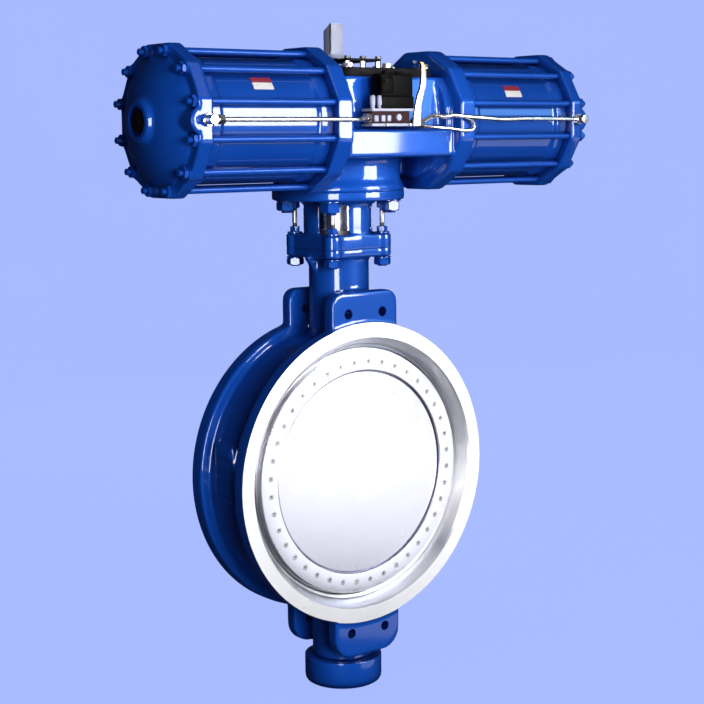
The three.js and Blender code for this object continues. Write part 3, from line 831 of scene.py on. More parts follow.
def clamp_ring():
    """The ring that clamps the seal, and its ring of sunk socket screws."""
    section = ring_section(CLAMP_INNER, CLAMP_R, CLAMP_LOW.y, CLAMP_HIGH.y)
    ring = paint(revolve("disc_clamp_ring", "y", section, sides=200, soft=0.7), DISC_STEEL)
    places = []
    for k in range(CLAMP_SCREWS):
        x, z = polar(SCREW_CIRCLE, 360 / CLAMP_SCREWS * (k + 0.5))
        places.append((x, 0, z))
    face, sink, head_r = CLAMP_LOW.y, 4.5, 3.8
    holes = [round_bar("hole", "y", head_r + 0.5, face - 4, face + sink, at, 20) for at in places]
    cut(ring, [paint(joined("holes", holes), DISC_STEEL)])
    show(finish(ring, None, 38), "rotor", "machined_steel", "disc_retaining_ring")
    profile = [
        (0, face + 2.6), (1.9, face + 2.6), (2.1, face + 0.5), (head_r, face + 0.5),
        (head_r, face + sink), (0, face + sink),
    ]
    heads = [revolve("head", "y", profile, at, 18, 0.25) for at in places]
    screws = finish(joined("clamp_ring_screws", heads), BOLT_STEEL, 30)
    show(screws, "rotor", "dark_steel")


def seal_ring():
    """A laminated seal: steel rings with graphite between them."""
    layers = 5
    thick = (SEAL_HIGH.y - SEAL_LOW.y) / layers
    leaves = []
    for k in range(layers):
        low = SEAL_LOW.y + k * thick
        steel = k % 2 == 0
        outer = SEAL_OUTER if steel else SEAL_OUTER - 0.5
        section = ring_section(SEAL_INNER, outer, low, low + thick)
        leaf = revolve("leaf", "y", section, sides=180, soft=0.1)
        leaves.append(paint(leaf, BOLT_STEEL if steel else GRAPHITE))
    show(finish(joined("laminated_seal", leaves), None), "rotor", "seal_rubber", "disc_seal_ring")


def stem():
    """The stem: a ground shaft with two drive flats at the top and a centre hole in each end."""
    ends = [(0, STEM_LOW.z + 8), (4, STEM_LOW.z), (STEM_R - 2, STEM_LOW.z), (STEM_R, STEM_LOW.z + 2)]
    groove = [(STEM_R, 300), (STEM_R, 456), (STEM_R - 1, 457), (STEM_R - 1, 460), (STEM_R, 461)]
    top = [(STEM_R, STEM_HIGH.z - 2), (STEM_R - 2, STEM_HIGH.z), (4, STEM_HIGH.z), (0, STEM_HIGH.z - 8)]
    shaft = paint(revolve("stem_shaft", "z", ends + groove + top, sides=96, soft=0.2), SHAFT_STEEL)
    for side in (1, -1):
        flat = box("flat", both(side, FLAT_HALF, 60), (-60, 60), (FLAT_FROM, STEM_HIGH.z + 10), 0)
        cut(shaft, [paint(spin(flat, YOKE_TURN), SHAFT_STEEL)])
    drill(shaft, SHAFT_STEEL, "y", PIN_HOLE_R, -60, 60, (0, 0, PIN_Z))
    show(finish(shaft, None, 30), "rotor", "machined_steel", "stem")


def disc_pin():
    """The pin through the disc's hub and the stem."""
    low, high = PIN_LOW.y, PIN_HIGH.y
    r = PIN_HIGH.x
    profile = [
        (0, low + 1), (r - 3, low), (r, low + 3), (r, high - 3), (r - 2, high), (2, high),
        (0, high - 3),
    ]
    pin = revolve("taper_pin", "y", profile, (0, 0, PIN_Z), 40, 0.3)
    show(finish(pin, BOLT_STEEL, 30), "rotor", "dark_steel", "disc_pin")


# ---- what the stem turns in ------------------------------------------------------------


def bush(name, node):
    """A bronze bush with three oil grooves in its bore and a lead chamfer at each end."""
    low, high = span(node)
    length = high.z - low.z
    bore = []
    for k in (1, 2, 3):
        at = high.z - length * k / 4
        bore += [(STEM_BORE + deep, at + up) for deep, up in ((0, 2), (1.2, 1), (1.2, -1), (0, -2))]
    profile = [
        (STEM_BORE, low.z), (BUSH_R - 1, low.z), (BUSH_R, low.z + 1), (BUSH_R, high.z - 1),
        (BUSH_R - 1, high.z), (STEM_BORE, high.z), *bore, (STEM_BORE, low.z),
    ]
    piece = revolve(name, "z", profile, sides=72, soft=0.15)
    show(finish(piece, BRONZE, 30), "frame", "bronze", node)


def thrust_washer():
    """A bronze pad with two crossed oil grooves in its top."""
    low, high = span("thrust_washer")
    profile = [
        (0, low.z), (high.x - 1, low.z), (high.x, low.z + 1), (high.x, high.z - 1),
        (high.x - 1, high.z), (0, high.z),
    ]
    plate = paint(revolve("thrust_pad", "z", profile, sides=72, soft=0.2), BRONZE)
    for turn in (0, 90):
        groove = box("groove", (-40, 40), (-1.5, 1.5), (high.z - 1.2, high.z + 2), 0)
        cut(plate, [paint(spin(groove, turn), BRONZE)])
    show(finish(plate, None, 30), "frame", "bronze", "thrust_washer")


def packing():
    """Five square rings of braided graphite, one on another."""
    low, high = span("packing_rings")
    count = 5
    pitch = (high.z - low.z) / count
    stack = []
    for k in range(count):
        base = low.z + k * pitch
        section = ring_section(STEM_BORE, PACK_R, base + 0.1, base + pitch - 0.1)
        stack.append(revolve("ring", "z", section, sides=72, soft=2.2))
    show(finish(joined("braided_packing", stack), GRAPHITE), "frame", "seal_rubber", "packing_rings")


def gland():
    """The sleeve that presses on the packing, with a slotted collar to turn it by."""
    low, high = span("gland_follower")
    collar_r, collar_low, collar_high = high.x, 360, 372
    profile = [
        (STEM_BORE, low.z), (PACK_R, low.z), (PACK_R, collar_low - 2), (PACK_R, collar_low),
        (collar_r, collar_low), (collar_r, collar_high), (PACK_R, collar_high), (PACK_R, high.z),
        (STEM_BORE + 2, high.z), (STEM_BORE, high.z - 2), (STEM_BORE, low.z),
    ]
    sleeve = paint(revolve("gland_sleeve", "z", profile, sides=72, soft=0.6), DARK_STEEL)
    for k in range(6):
        across, tall = (collar_r - 3, collar_r + 4), (collar_low - 5, collar_high + 8)
        notch = box("notch", across, (-3.5, 3.5), tall, 0)
        cut(sleeve, [paint(spin(notch, 60 * k + 15), DARK_STEEL)])
    show(finish(sleeve, None, 30), "frame", "dark_steel", "gland_follower")


COVER_SCREW_CIRCLE = 41


def bottom_cover():
    """The round cover under the bottom boss, held by four sunk screws."""
    low, high = span("bottom_cover")
    face = BOSS_END - 0.3
    profile = [
        (0, low.z), (high.x, low.z, 11), (high.x, face, 2), (BUSH_R, face), (BUSH_R, high.z),
        (0, high.z),
    ]
    cover = paint(revolve("cover_casting", "z", profile, sides=120, soft=0.6), CAST_BLUE)
    heads = []
    for at in at_corners(COVER_SCREW_CIRCLE):
        drill(cover, CAST_BLUE, "z", 7.5, low.z - 5, low.z + 9, at, 32)
        heads.append(socket_screw("head", "z", at, low.z + 1, 6.8, 4.5, BOLT_STEEL, -1))
    show(finish(cover, None, 35), "frame", "enamel_blue", "bottom_cover")
    assembled("cover_screws", heads, "frame", "dark_steel")


# ---- the stand between the valve and the actuator --------------------------------------

STAND_BASE = STAND_LOW.z
STAND_TOP = STAND_HIGH.z
WINDOW_HALF = 24


def sector(inner, outer, half_turn, middle):
    """The outline of a curved wall, between two radii."""
    outside = arc(0, 0, outer, middle - half_turn, middle + half_turn, 10)
    inside = arc(0, 0, inner, middle + half_turn * 0.62, middle - half_turn * 0.62, 10)
    return outside + inside


def stand():
    """The cast stand: a four-eared foot, four curved legs and a round top flange."""
    ceiling = STAND_TOP - TOP_FLANGE_T
    leg_turn = 45 - math.degrees(math.asin(WINDOW_HALF / STAND_WALL_R))
    crown = [
        (0, ceiling - 7), (STAND_WALL_R, ceiling - 7), (STAND_WALL_R + 5, ceiling + 2),
        (0, ceiling + 2),
    ]
    parts = [
        prism("foot", ear_outline(), STAND_BASE - 2, STAND_BASE + EAR_T, bevel=1.5),
        round_bar("top", "z", TOP_FLANGE_R, ceiling, STAND_TOP + 2, sides=96, soft=2),
        revolve("crown", "z", crown),
    ]
    for k in range(4):
        wall = sector(STAND_BORE_R, STAND_WALL_R, leg_turn, 90 * k)
        parts.append(prism("leg", wall, STAND_BASE + 4, ceiling + 2))
    body = cast("stand_casting", parts, CAST_BLUE, voxel=2.0)
    tools = [
        round_bar("base", "z", 140, STAND_BASE - 20, STAND_BASE),
        round_bar("face", "z", 140, STAND_TOP, STAND_TOP + 20),
        round_bar("bore", "z", STAND_BORE_R, STAND_BASE - 10, STAND_TOP + 10, sides=96),
    ]
    ear_hole_r, flange_hole_r = EAR_BOLT_R + 0.6, 10.6
    for ear, flange in zip(at_corners(EAR_CIRCLE), at_corners(ACTUATOR_CIRCLE)):
        tools.append(round_bar("hole", "z", ear_hole_r, STAND_BASE - 10, STAND_BASE + 40, ear, 32))
        tools.append(round_bar("hole", "z", flange_hole_r, ceiling - 20, STAND_TOP + 10, flange, 32))
    machine(body, tools, SMOOTH_BLUE)
    show(finish(body, None, 38), "frame", "enamel_blue", "mounting_stand")


def stand_bolts():
    """Four bolts between the body and the stand. Each has a large nut under the body's ear
    and a thin end above the foot, with a small nut at its bottom and its top."""
    under = NECK_TOP - BODY_EAR_T - 0.3
    over = STAND_BASE + EAR_T + 0.3
    thin_r = 4
    for k, at in enumerate(at_corners(EAR_CIRCLE)):
        node = f"stand_bolt_{k + 1}"
        low, high = span(node)
        shank, thin_shank = (under + 4, over + 2), (over + 16, high.z - 18)
        parts = [
            thread("bolt", "z", EAR_BOLT_R, low.z, over + 1, at, SMOOTH_BLUE, 2, plain=shank),
            thread("thin_end", "z", thin_r, over, high.z, at, DARK_STEEL, 1.25, plain=thin_shank),
            washer("washer", "z", at, under - 2, 13.7, EAR_BOLT_R + 0.4, 1.9, SMOOTH_BLUE),
            nut("nut", "z", at, under - 13, 23.9, 10.9, SMOOTH_BLUE, 15 + 7 * k),
            washer("washer", "z", at, over + 0.1, 12, thin_r + 0.2, 2.4, SMOOTH_BLUE),
            nut("nut", "z", at, over + 2.5, 14.7, 8.5, SMOOTH_BLUE, 40 + 11 * k),
            nut("nut", "z", at, high.z - 13, 14.7, 12.9, SMOOTH_BLUE, 10 * k),
        ]
        assembled(f"stand_bolt_and_nuts_{k + 1}", parts, "frame", "dark_steel", node)


def actuator_studs():
    """Four studs with nuts, up through the stand's top flange into the actuator."""
    ceiling = STAND_TOP - TOP_FLANGE_T
    shank = (ceiling - 3, STAND_TOP + 2)
    for k, at in enumerate(at_corners(ACTUATOR_CIRCLE)):
        parts = [
            thread("stud", "z", 9.4, ceiling - 21, STAND_TOP + 8, at, SMOOTH_BLUE, 2.5, plain=shank),
            washer("washer", "z", at, ceiling - 2.6, 17.5, 9.9, 2.5, SMOOTH_BLUE),
            nut("nut", "z", at, ceiling - 17.5, 29, 14.8, SMOOTH_BLUE, 20 + 9 * k),
        ]
        assembled(f"actuator_stud_{k + 1}", parts, "frame", "dark_steel")


# ---- the actuator's centre housing -----------------------------------------------------

HOUSING_HALF = 103
HOUSING_TOP = span("housing_cover")[0].z - 0.3
HOUSING_FLOOR = 500
HOUSING_SHELF = 543
HOUSING_FRONT = -160
HOUSING_WALL_Y = -145
HOUSING_BACK = 58
HOUSING_BASE = HOUSING_LOW.z
WALL = 8
HUB_BASE_R = 102
YOKE_HUB_R = 35


def cylinder_outline():
    """Twelve round ears with straight sides between them: an end flange's outline."""
    points = []
    for k in range(12):
        middle = 15 + 30 * k
        points += arc(*polar(ROD_CIRCLE, middle), END_EAR_R, middle - 15, middle + 15, 6)
    return points


def rod_places():
    """Where the twelve tie rods of a cylinder stand, seen along it."""
    return [(0, CYL_Y + y, CYL_Z + z) for y, z in (polar(ROD_CIRCLE, 15 + 30 * k) for k in range(12))]


def centre_housing():
    """The cast housing: a box on a round base, with an eared flange for each cylinder."""
    front, shelf, floor, top = HOUSING_FRONT, HOUSING_SHELF, HOUSING_FLOOR, HOUSING_TOP
    draft = 12
    walls = [
        (HOUSING_BACK, floor), (HOUSING_BACK, top + 2), (HOUSING_WALL_Y + draft, top + 2),
        (HOUSING_WALL_Y, shelf), (HOUSING_WALL_Y, floor),
    ]
    belly = [(0, floor), (front + 4, floor)] + arc(front + 4, floor + 4, 4, 270, 180, 6)
    belly += arc(front + 5, shelf - 5, 5, 180, 90, 8) + [(0, shelf)]
    base = [
        (0, HOUSING_BASE - 2), (HUB_BASE_R + 3, HOUSING_BASE - 2),
        (HUB_BASE_R + 3, HOUSING_BASE + 8, 3), (HUB_BASE_R - 3, HOUSING_BASE + 18, 8),
        (HUB_BASE_R - 3, floor - 8, 8), (HUB_BASE_R + 2, floor + 2), (0, floor + 2),
    ]
    parts = [
        prism("box", walls, -HOUSING_HALF, HOUSING_HALF, "x", bevel=5),
        prism("belly", belly, -HOUSING_HALF, HOUSING_HALF, "x", bevel=3),
        revolve("base", "z", base, sides=128, soft=3),
    ]
    for side in (-1, 1):
        low, high = both(side, INNER_FLANGE_FROM, INNER_FLANGE_TO + 2)
        parts.append(prism("flange", cylinder_outline(), low, high, "x", AXIS, 1.5))
        low, high = both(side, HOUSING_HALF - 12, INNER_FLANGE_FROM + 3)
        parts.append(round_bar("throat", "x", 88, low, high, AXIS, 96, 2))
    body = cast("housing_casting", parts, ROUGH_BLUE)
    lean = draft / (top + 2 - shelf)
    room = [
        (HOUSING_BACK - WALL, floor + WALL), (HOUSING_BACK - WALL, top + 10),
        (HOUSING_WALL_Y + WALL + lean * (top + 10 - shelf), top + 10),
        (HOUSING_WALL_Y + WALL, shelf), (HOUSING_WALL_Y + WALL, floor + WALL),
    ]
    room_half = HOUSING_HALF - WALL
    tools = [
        prism("room", room, -room_half, room_half, "x"),
        box("face", about(0, INNER_FLANGE_FROM), (-260, 160), (top, top + 60), 0),
        round_bar("foot", "z", 150, HOUSING_BASE - 30, HOUSING_BASE),
        round_bar("hub_bore", "z", YOKE_HUB_R + 1, HOUSING_BASE - 10, HOUSING_TOP + 10, sides=72),
    ]
    for at in at_corners(ACTUATOR_CIRCLE):
        tools.append(round_bar("tap", "z", 9.8, HOUSING_BASE - 10, HOUSING_BASE + 24, at, 32))
    for side in (-1, 1):
        low, high = both(side, room_half - 1, INNER_FLANGE_TO + 10)
        tools.append(round_bar("bore", "x", 76, low, high, AXIS, 96))
        low, high = both(side, INNER_FLANGE_TO, INNER_FLANGE_TO + 20)
        tools.append(round_bar("face", "x", 150, low, high, AXIS))
        low, high = both(side, INNER_FLANGE_FROM + 4, INNER_FLANGE_TO + 6)
        holes = [round_bar("hole", "x", 5.4, low, high, at, 20) for at in rod_places()]
        tools.append(joined("holes", holes))
    machine(body, tools, SMOOTH_BLUE)
    show(finish(body, None, 38), "frame", "enamel_blue", "centre_housing")


def housing_cover():
    """The black lid, with hexagon screws round its edge and a hole where the shaft comes out."""
    low, high = span("housing_cover")
    half_x, half_y = high.x, (high.y - low.y) / 2
    middle = (low.y + high.y) / 2
    sheet = rounded_rectangle(half_x, half_y, 10)
    lid = prism("cover_plate", sheet, low.z, high.z, "z", (0, middle, 0), 1.2)
    paint(lid, BLACK_PAINT)
    drill(lid, BLACK_PAINT, "z", 14.3, low.z - 5, high.z + 5)
    show(finish(lid, None, 35), "frame", "black_paint", "housing_cover")
    inset = 10
    rows = (middle - half_y + inset, middle, middle + half_y - inset)
    places = [(x, y) for x in (inset - half_x, 0, half_x - inset) for y in rows]
    parts = []
    for k, (x, y) in enumerate(p for p in places if p[0] or p[1] != middle):
        parts.append(washer("washer", "z", (x, y, 0), high.z, 8, 4.2, 1.5, BOLT_STEEL))
        parts.append(nut("head", "z", (x, y, 0), high.z + 1.5, 12.8, 5.2, BOLT_STEEL, 17 * k))
    assembled("cover_bolts", parts, "frame", "dark_steel")


# ---- the two cylinders -----------------------------------------------------------------

COLLAR = 20
ROD_R = 5
NUT_ACROSS = 15.9
BOSS_REACH = 37
PORT_X = CAP_FROM + END_T / 2


def toward(side, *pairs):
    """Mirrors a turned profile's distances along the cylinder to the side it is for."""
    return [(p[0], side * p[1], *p[2:]) for p in pairs]


def barrel(hand, side):
    """A cylinder's tube, with a thicker collar at each end."""
    start, end = BARREL_LOW.x, BARREL_HIGH.x
    profile = toward(
        side, (BARREL_BORE + 1.5, start), (COLLAR_R, start, 1), (COLLAR_R, start + COLLAR, 1.5),
        (BARREL_R, start + COLLAR + 5, 3), (BARREL_R, end - COLLAR - 5, 3),
        (COLLAR_R, end - COLLAR, 1.5), (COLLAR_R, end, 1), (BARREL_BORE + 1.5, end),
        (BARREL_BORE, end - 4), (BARREL_BORE, start + 4), (BARREL_BORE + 1.5, start),
    )
    tube = revolve(f"{hand}_cylinder_barrel", "x", profile, AXIS, 144, 0.4)
    show(finish(tube, SMOOTH_BLUE, 30), "frame", "enamel_blue", f"{hand}_barrel")


LABEL_TALL = 20
LABEL_LONG = 34
LABELS = {"left": (-259, 35), "right": (222, 30)}


def label(hand, from_x, lift):
    """A thin blank name plate bent round a barrel: a white field under a red stripe. It
    starts at `from_x`, and its middle is `lift` degrees above the barrel's front."""
    r, thick = BARREL_R + 0.05, 0.7
    half = math.degrees(LABEL_TALL / 2 / BARREL_R)
    turn = 180 - lift
    split = turn - 0.1 * half
    fields = ((turn - half, split, FOIL_RED), (split, turn + half, FOIL_WHITE))
    parts = []
    for start, end, foil in fields:
        outline = arc(0, 0, r + thick, start, end, 8) + arc(0, 0, r, end, start, 8)
        parts.append(paint(prism("field", outline, from_x, from_x + LABEL_LONG, "x", AXIS, 0.15), foil))
    assembled(f"{hand}_blank_label", parts, "frame", "silver_metal", angle=40)


def end_cap(hand, side):
    """The cast cap: an eared flange, a low dome, a boss for the stop screw and an air port."""
    low, high = both(side, CAP_FROM, CAP_FACE)
    dome = toward(
        side, (0, CAP_FROM + 3), (92, CAP_FROM + 3), (92, CAP_FACE + 2, 4), (80, CAP_FACE + 11, 12),
        (56, CAP_FACE + 23, 14), (33, CAP_FACE + 29, 6), (29, CAP_FACE + BOSS_REACH, 2),
        (0, CAP_FACE + BOSS_REACH),
    )
    port_at = (side * (PORT_X + 5), 0, CYL_Z)
    parts = [
        prism("flange", cylinder_outline(), low, high, "x", AXIS, 2),
        revolve("dome", "x", dome, AXIS, 128, 1),
        round_bar("port_boss", "y", 20, CYL_Y - 107, CYL_Y - 60, port_at, 64, 3),
    ]
    for at in rod_places():
        low, high = both(side, CAP_FACE - 4, CAP_FACE + 1.2)
        parts.append(round_bar("spot", "x", END_EAR_R - 0.5, low, high, at, 32, 0.6))
    body = cast(f"{hand}_cap_casting", parts, CAST_BLUE, voxel=2.0, passes=6)
    low, high = both(side, CAP_FROM - 10, CAP_FACE + 10)
    tools = [
        round_bar("face", "x", 150, *both(side, CAP_FROM - 30, CAP_FROM), AXIS),
        round_bar("hollow", "x", 66, *both(side, CAP_FROM - 20, CAP_FACE + 2), AXIS, 96),
        round_bar("screw_hole", "x", 10.3, *both(side, CAP_FROM, CAP_FACE + 50), AXIS, 40),
        round_bar("recess", "x", 21.5, *both(side, CAP_FACE + 29, CAP_FACE + 60), AXIS, 64),
        round_bar("port", "y", 7, CYL_Y - 130, CYL_Y - 50, (side * PORT_X, 0, CYL_Z), 32),
        joined("holes", [round_bar("hole", "x", 5.3, low, high, at, 20) for at in rod_places()]),
    ]
    machine(body, tools, SMOOTH_BLUE)
    ring = toward(side, *ring_section(66, BARREL_BORE - 0.3, CAP_FROM - 5, CAP_FROM + 1))
    spigot = paint(revolve("spigot", "x", ring, AXIS, 96, 0.4), FACED_STEEL)
    body = joined(f"{hand}_cylinder_cap", [body, spigot])
    show(finish(body, None, 38), "frame", "enamel_blue", f"{hand}_end_cap")


def stop_screw(hand, side):
    """The travel stop: a threaded screw with a lock nut in the cap's recess."""
    node = f"{hand}_stop_screw"
    low, high = span(node)
    end = max(abs(low.x), abs(high.x))
    seat = both(side, CAP_FACE + 29.3, CAP_FACE + 35)
    parts = [
        thread("screw", "x", 10, low.x, high.x, AXIS, BOLT_STEEL, 2.5, 32),
        nut("lock_nut", "x", AXIS, seat[0], 30, seat[1] - seat[0], BLACK_PAINT, 12),
    ]
    slot = box("slot", both(side, end - 3, end + 3), about(CYL_Y, 1.2), about(CYL_Z, 20), 0)
    cut(parts[0], [paint(slot, DARK_STEEL)])
    assembled(f"{hand}_travel_stop", parts, "frame", "dark_steel", node)


def tie_rods(hand, side):
    """Twelve painted tie rods, each with a washer and a nut, their ends standing out."""
    for k, at in enumerate(rod_places()):
        node = f"{hand}_tie_rod_{k + 1:02d}"
        low, high = span(node)
        ends = (low.x + 20, high.x - 22) if side > 0 else (low.x + 22, high.x - 20)
        washer_x = both(side, CAP_FACE + 0.4, CAP_FACE + 1.6)[0]
        nut_x = both(side, CAP_FACE + 1.7, CAP_FACE + 8.3)[0]
        parts = [
            thread("rod", "x", ROD_R, low.x, high.x, at, ROD_BLUE, 1.75, 20, ends),
            washer("washer", "x", at, washer_x, 9.6, ROD_R + 0.3, 1.2, ROD_BLUE),
            nut("nut", "x", at, nut_x, NUT_ACROSS, 6.6, ROD_BLUE, 23 * k),
        ]
        assembled(f"{hand}_rod_{k + 1:02d}", parts, "frame", "enamel_blue", node)


# ---- the moving parts inside -----------------------------------------------------------

PISTON_T = 30


def piston(hand):
    """A piston with a seal in its groove, thinned on one face between its hub and its rim."""
    node = f"{hand}_piston"
    low, high = span(node)
    r = (high.z - low.z) / 2
    middle = (low.x + high.x) / 2
    half = PISTON_T / 2
    points = [
        (10.3, -half), (r - 2, -half), (r, -half + 2), (r, -3), (r - 5, -3), (r - 5, 3), (r, 3),
        (r, half - 2), (r - 2, half), (60, half), (56, half - 6), (30, half - 6), (26, half),
        (10.3, half), (10.3, -half),
    ]
    turned = revolve("body", "x", [(p, middle + a) for p, a in points], AXIS, 128, 0.5)
    seal = [(r - 4.8, -2.6), (r + 0.1, -2.2), (r + 0.1, 2.2), (r - 4.8, 2.6), (r - 4.8, -2.6)]
    cup = revolve("cup", "x", [(p, middle + a) for p, a in seal], AXIS, 128, 0.8)
    parts = [paint(turned, ALLOY), paint(cup, RUBBER)]
    assembled(f"{hand}_piston_and_seal", parts, "piston", "piston_alloy", node)


def piston_rod():
    """The rod between the pistons, with the squared crosshead that carries the pin."""
    low, high = span("piston_rod")
    middle = (low.x + high.x) / 2
    reach = (high.x - low.x) / 2
    step = reach - 2 - PISTON_T - 0.3
    profile = [
        (0, -reach), (8.5, -reach), (10, -reach + 1.5), (10, -step), (20, -step + 0.2),
        (20, step - 0.2), (10, step), (10, reach - 1.5), (8.5, reach), (0, reach),
    ]
    placed = [(r, middle + along) for r, along in profile]
    rod = paint(revolve("piston_rod_and_crosshead", "x", placed, AXIS, 64, 0.5), SHAFT_STEEL)
    head = box("crosshead", about(middle, 32), about(CYL_Y, 24), about(CYL_Z, 20), 3)
    cut(rod, [paint(head, DARK_STEEL)], "UNION")
    drill(rod, SHAFT_STEEL, "z", 14.3, *about(CYL_Z, 60), (middle, CYL_Y, 0), 64)
    show(finish(rod, None, 35), "piston", "machined_steel", "piston_rod")


def yoke_pin():
    """The pin through the crosshead, with a roller at each end that runs in the yoke."""
    low, high = span("yoke_pin")
    x = (low.x + high.x) / 2
    at = (x, CYL_Y, 0)
    pin_r, roller_r, roller_t = 14, 16, 18
    pin = [
        (0, low.z + 1), (9, low.z + 1), (10, low.z), (11, low.z + 1.5), (pin_r - 3, low.z + 3),
        (pin_r - 3, high.z - 3), (11, high.z - 1.5), (10, high.z), (0, high.z - 1),
    ]
    parts = [paint(revolve("pin", "z", pin, at, 48, 0.2), SHAFT_STEEL)]
    shank = round_bar("shank", "z", pin_r, low.z + 20, high.z - 20, at, 48, 0.5)
    parts.append(paint(shank, SHAFT_STEEL))
    for base in (low.z + 0.5, high.z - 0.5 - roller_t):
        inner, top = pin_r - 2.9, base + roller_t
        rim = [
            (inner, base), (roller_r - 1, base), (roller_r, base + 1), (roller_r, top - 1),
            (roller_r - 1, top), (inner, top), (inner, base),
        ]
        parts.append(paint(revolve("roller", "z", rim, at, 48, 0.3), DARK_STEEL))
    assembled("crosshead_pin", parts, "piston", "dark_steel", "yoke_pin")


def yoke():
    """The forked yoke on the stem: two slotted arms on a hub, with a shaft up to the pointer."""
    low, high = span("scotch_yoke")
    arm_half, reach, thick = 32, 129, 16
    lower_arm, upper_arm = 514, 580
    slot_half, slot_from, slot_to = 22.5, 48, 118
    hub_top, step_top = 612, 636
    hub = [
        (0, low.z), (YOKE_HUB_R - 1.5, low.z), (YOKE_HUB_R, low.z + 1.5), (YOKE_HUB_R, hub_top - 2),
        (YOKE_HUB_R - 2, hub_top), (14, hub_top), (14, step_top - 2), (13, step_top), (8, step_top),
        (8, high.z - 1), (7, high.z), (0, high.z),
    ]
    body = paint(revolve("forked_yoke", "z", hub, sides=72, soft=0.5), DARK_STEEL)
    arm = rounded_rectangle(arm_half, (reach + 10) / 2, 10)
    window = rounded_rectangle(slot_half, (slot_to - slot_from) / 2, 3)
    for base in (lower_arm, upper_arm):
        blade = prism("arm", arm, base, base + thick, "z", (0, 10 - (reach + 10) / 2, 0), 1.5)
        cut(body, [paint(blade, DARK_STEEL)], "UNION")
        middle = (0, -(slot_to + slot_from) / 2, 0)
        slot = prism("slot", window, base - 5, base + thick + 5, "z", middle)
        cut(body, [paint(slot, SHAFT_STEEL)])
    drill(body, SHAFT_STEEL, "z", STEM_BORE, low.z - 10, FLAT_FROM + 0.3, sides=96)
    key = round_bar("key", "z", STEM_BORE, FLAT_FROM - 5, STEM_HIGH.z + 1, sides=96)
    cut(key, [box("limit", about(0, FLAT_HALF + 0.3), (-60, 60), (400, 700), 0)], "INTERSECT")
    cut(body, [paint(key, SHAFT_STEEL)])
    show(finish(spin(body, YOKE_TURN), None, 35), "rotor", "dark_steel", "scotch_yoke")


# ---- the air control and what stands on the cover --------------------------------------

VALVE_LEFT, VALVE_RIGHT = -66, 14
VALVE_FRONT, VALVE_BACK = -172, -145.5
VALVE_LOW, VALVE_HIGH = 546, 572
TUBE_R = 3.4
TUBE_Y = -190
TUBE_Z = 556


def bent_strip():
    """The bright bent strip in front of the valve's right end, tan where it curls at the top."""
    middle = [
        (17, 546, 7), (17.5, 556, 7), (18.5, 566, 6.5), (20.5, 579, 6), (24, 591, 6),
        (28, 600, 5.5), (30, 609, 5), (30.7, 618, 4.6), (30.7, 628, 4.3), (30, 636, 4),
        (26, 641, 3.5),
    ]
    left = [(x - half, z) for x, z, half in middle]
    right = [(x + half, z) for x, z, half in middle]
    strip = prism("strip", left + right[::-1], VALVE_FRONT - 3.8, VALVE_FRONT + 1, "y", bevel=0.8)
    return finish(strip, STRIP_METAL, 40)


def solenoid_valve():
    """The directional valve: a dark body between two bright plates, with its ports and screws."""
    wide, deep = (VALVE_LEFT, VALVE_RIGHT), (VALVE_FRONT, VALVE_BACK)
    parts = [
        box("top", wide, deep, (VALVE_HIGH - 4, VALVE_HIGH), 0.6),
        box("bottom", wide, deep, (VALVE_LOW, VALVE_LOW + 4), 0.6),
    ]
    for part in parts:
        paint(part, SHEET_METAL)
    wide, deep = (VALVE_LEFT + 4, VALVE_RIGHT - 4), (VALVE_FRONT + 6, VALVE_BACK)
    parts.append(paint(box("inner", wide, deep, (VALVE_LOW + 3, VALVE_HIGH - 3), 0.8), BROWN_BODY))
    deep, tall = (VALVE_FRONT + 2, VALVE_FRONT + 8), (VALVE_LOW + 7, VALVE_LOW + 16)
    for x in (VALVE_LEFT + 10, VALVE_LEFT + 23, VALVE_LEFT + 34):
        parts.append(paint(box("port", about(x, 3.5), deep, tall, 0.8), SHEET_METAL))
    parts.append(nut("plug", "y", (-14, 0, 559), VALVE_FRONT + 1, 9, 6, SHEET_METAL, 10))
    parts.append(bent_strip())
    outline = [
        (0, VALVE_HIGH), (3.4, VALVE_HIGH), (3.4, VALVE_HIGH + 4), (4.2, VALVE_HIGH + 5),
        (4.2, VALVE_HIGH + 16), (3, VALVE_HIGH + 19), (0, VALVE_HIGH + 19),
    ]
    for x in (VALVE_LEFT + 5, VALVE_LEFT + 18):
        silencer = revolve("silencer", "z", outline, (x, VALVE_FRONT + 6, 0), 28, 0.5)
        parts.append(paint(silencer, SHEET_METAL))
    for x in (-40, 4):
        at = (x, 0, VALVE_LOW + 2)
        parts.append(socket_screw("screw", "y", at, VALVE_FRONT - 0.6, 1.6, 1, BOLT_STEEL))
    assembled("directional_valve", parts, "frame", "silver_metal", "solenoid_valve", angle=35)


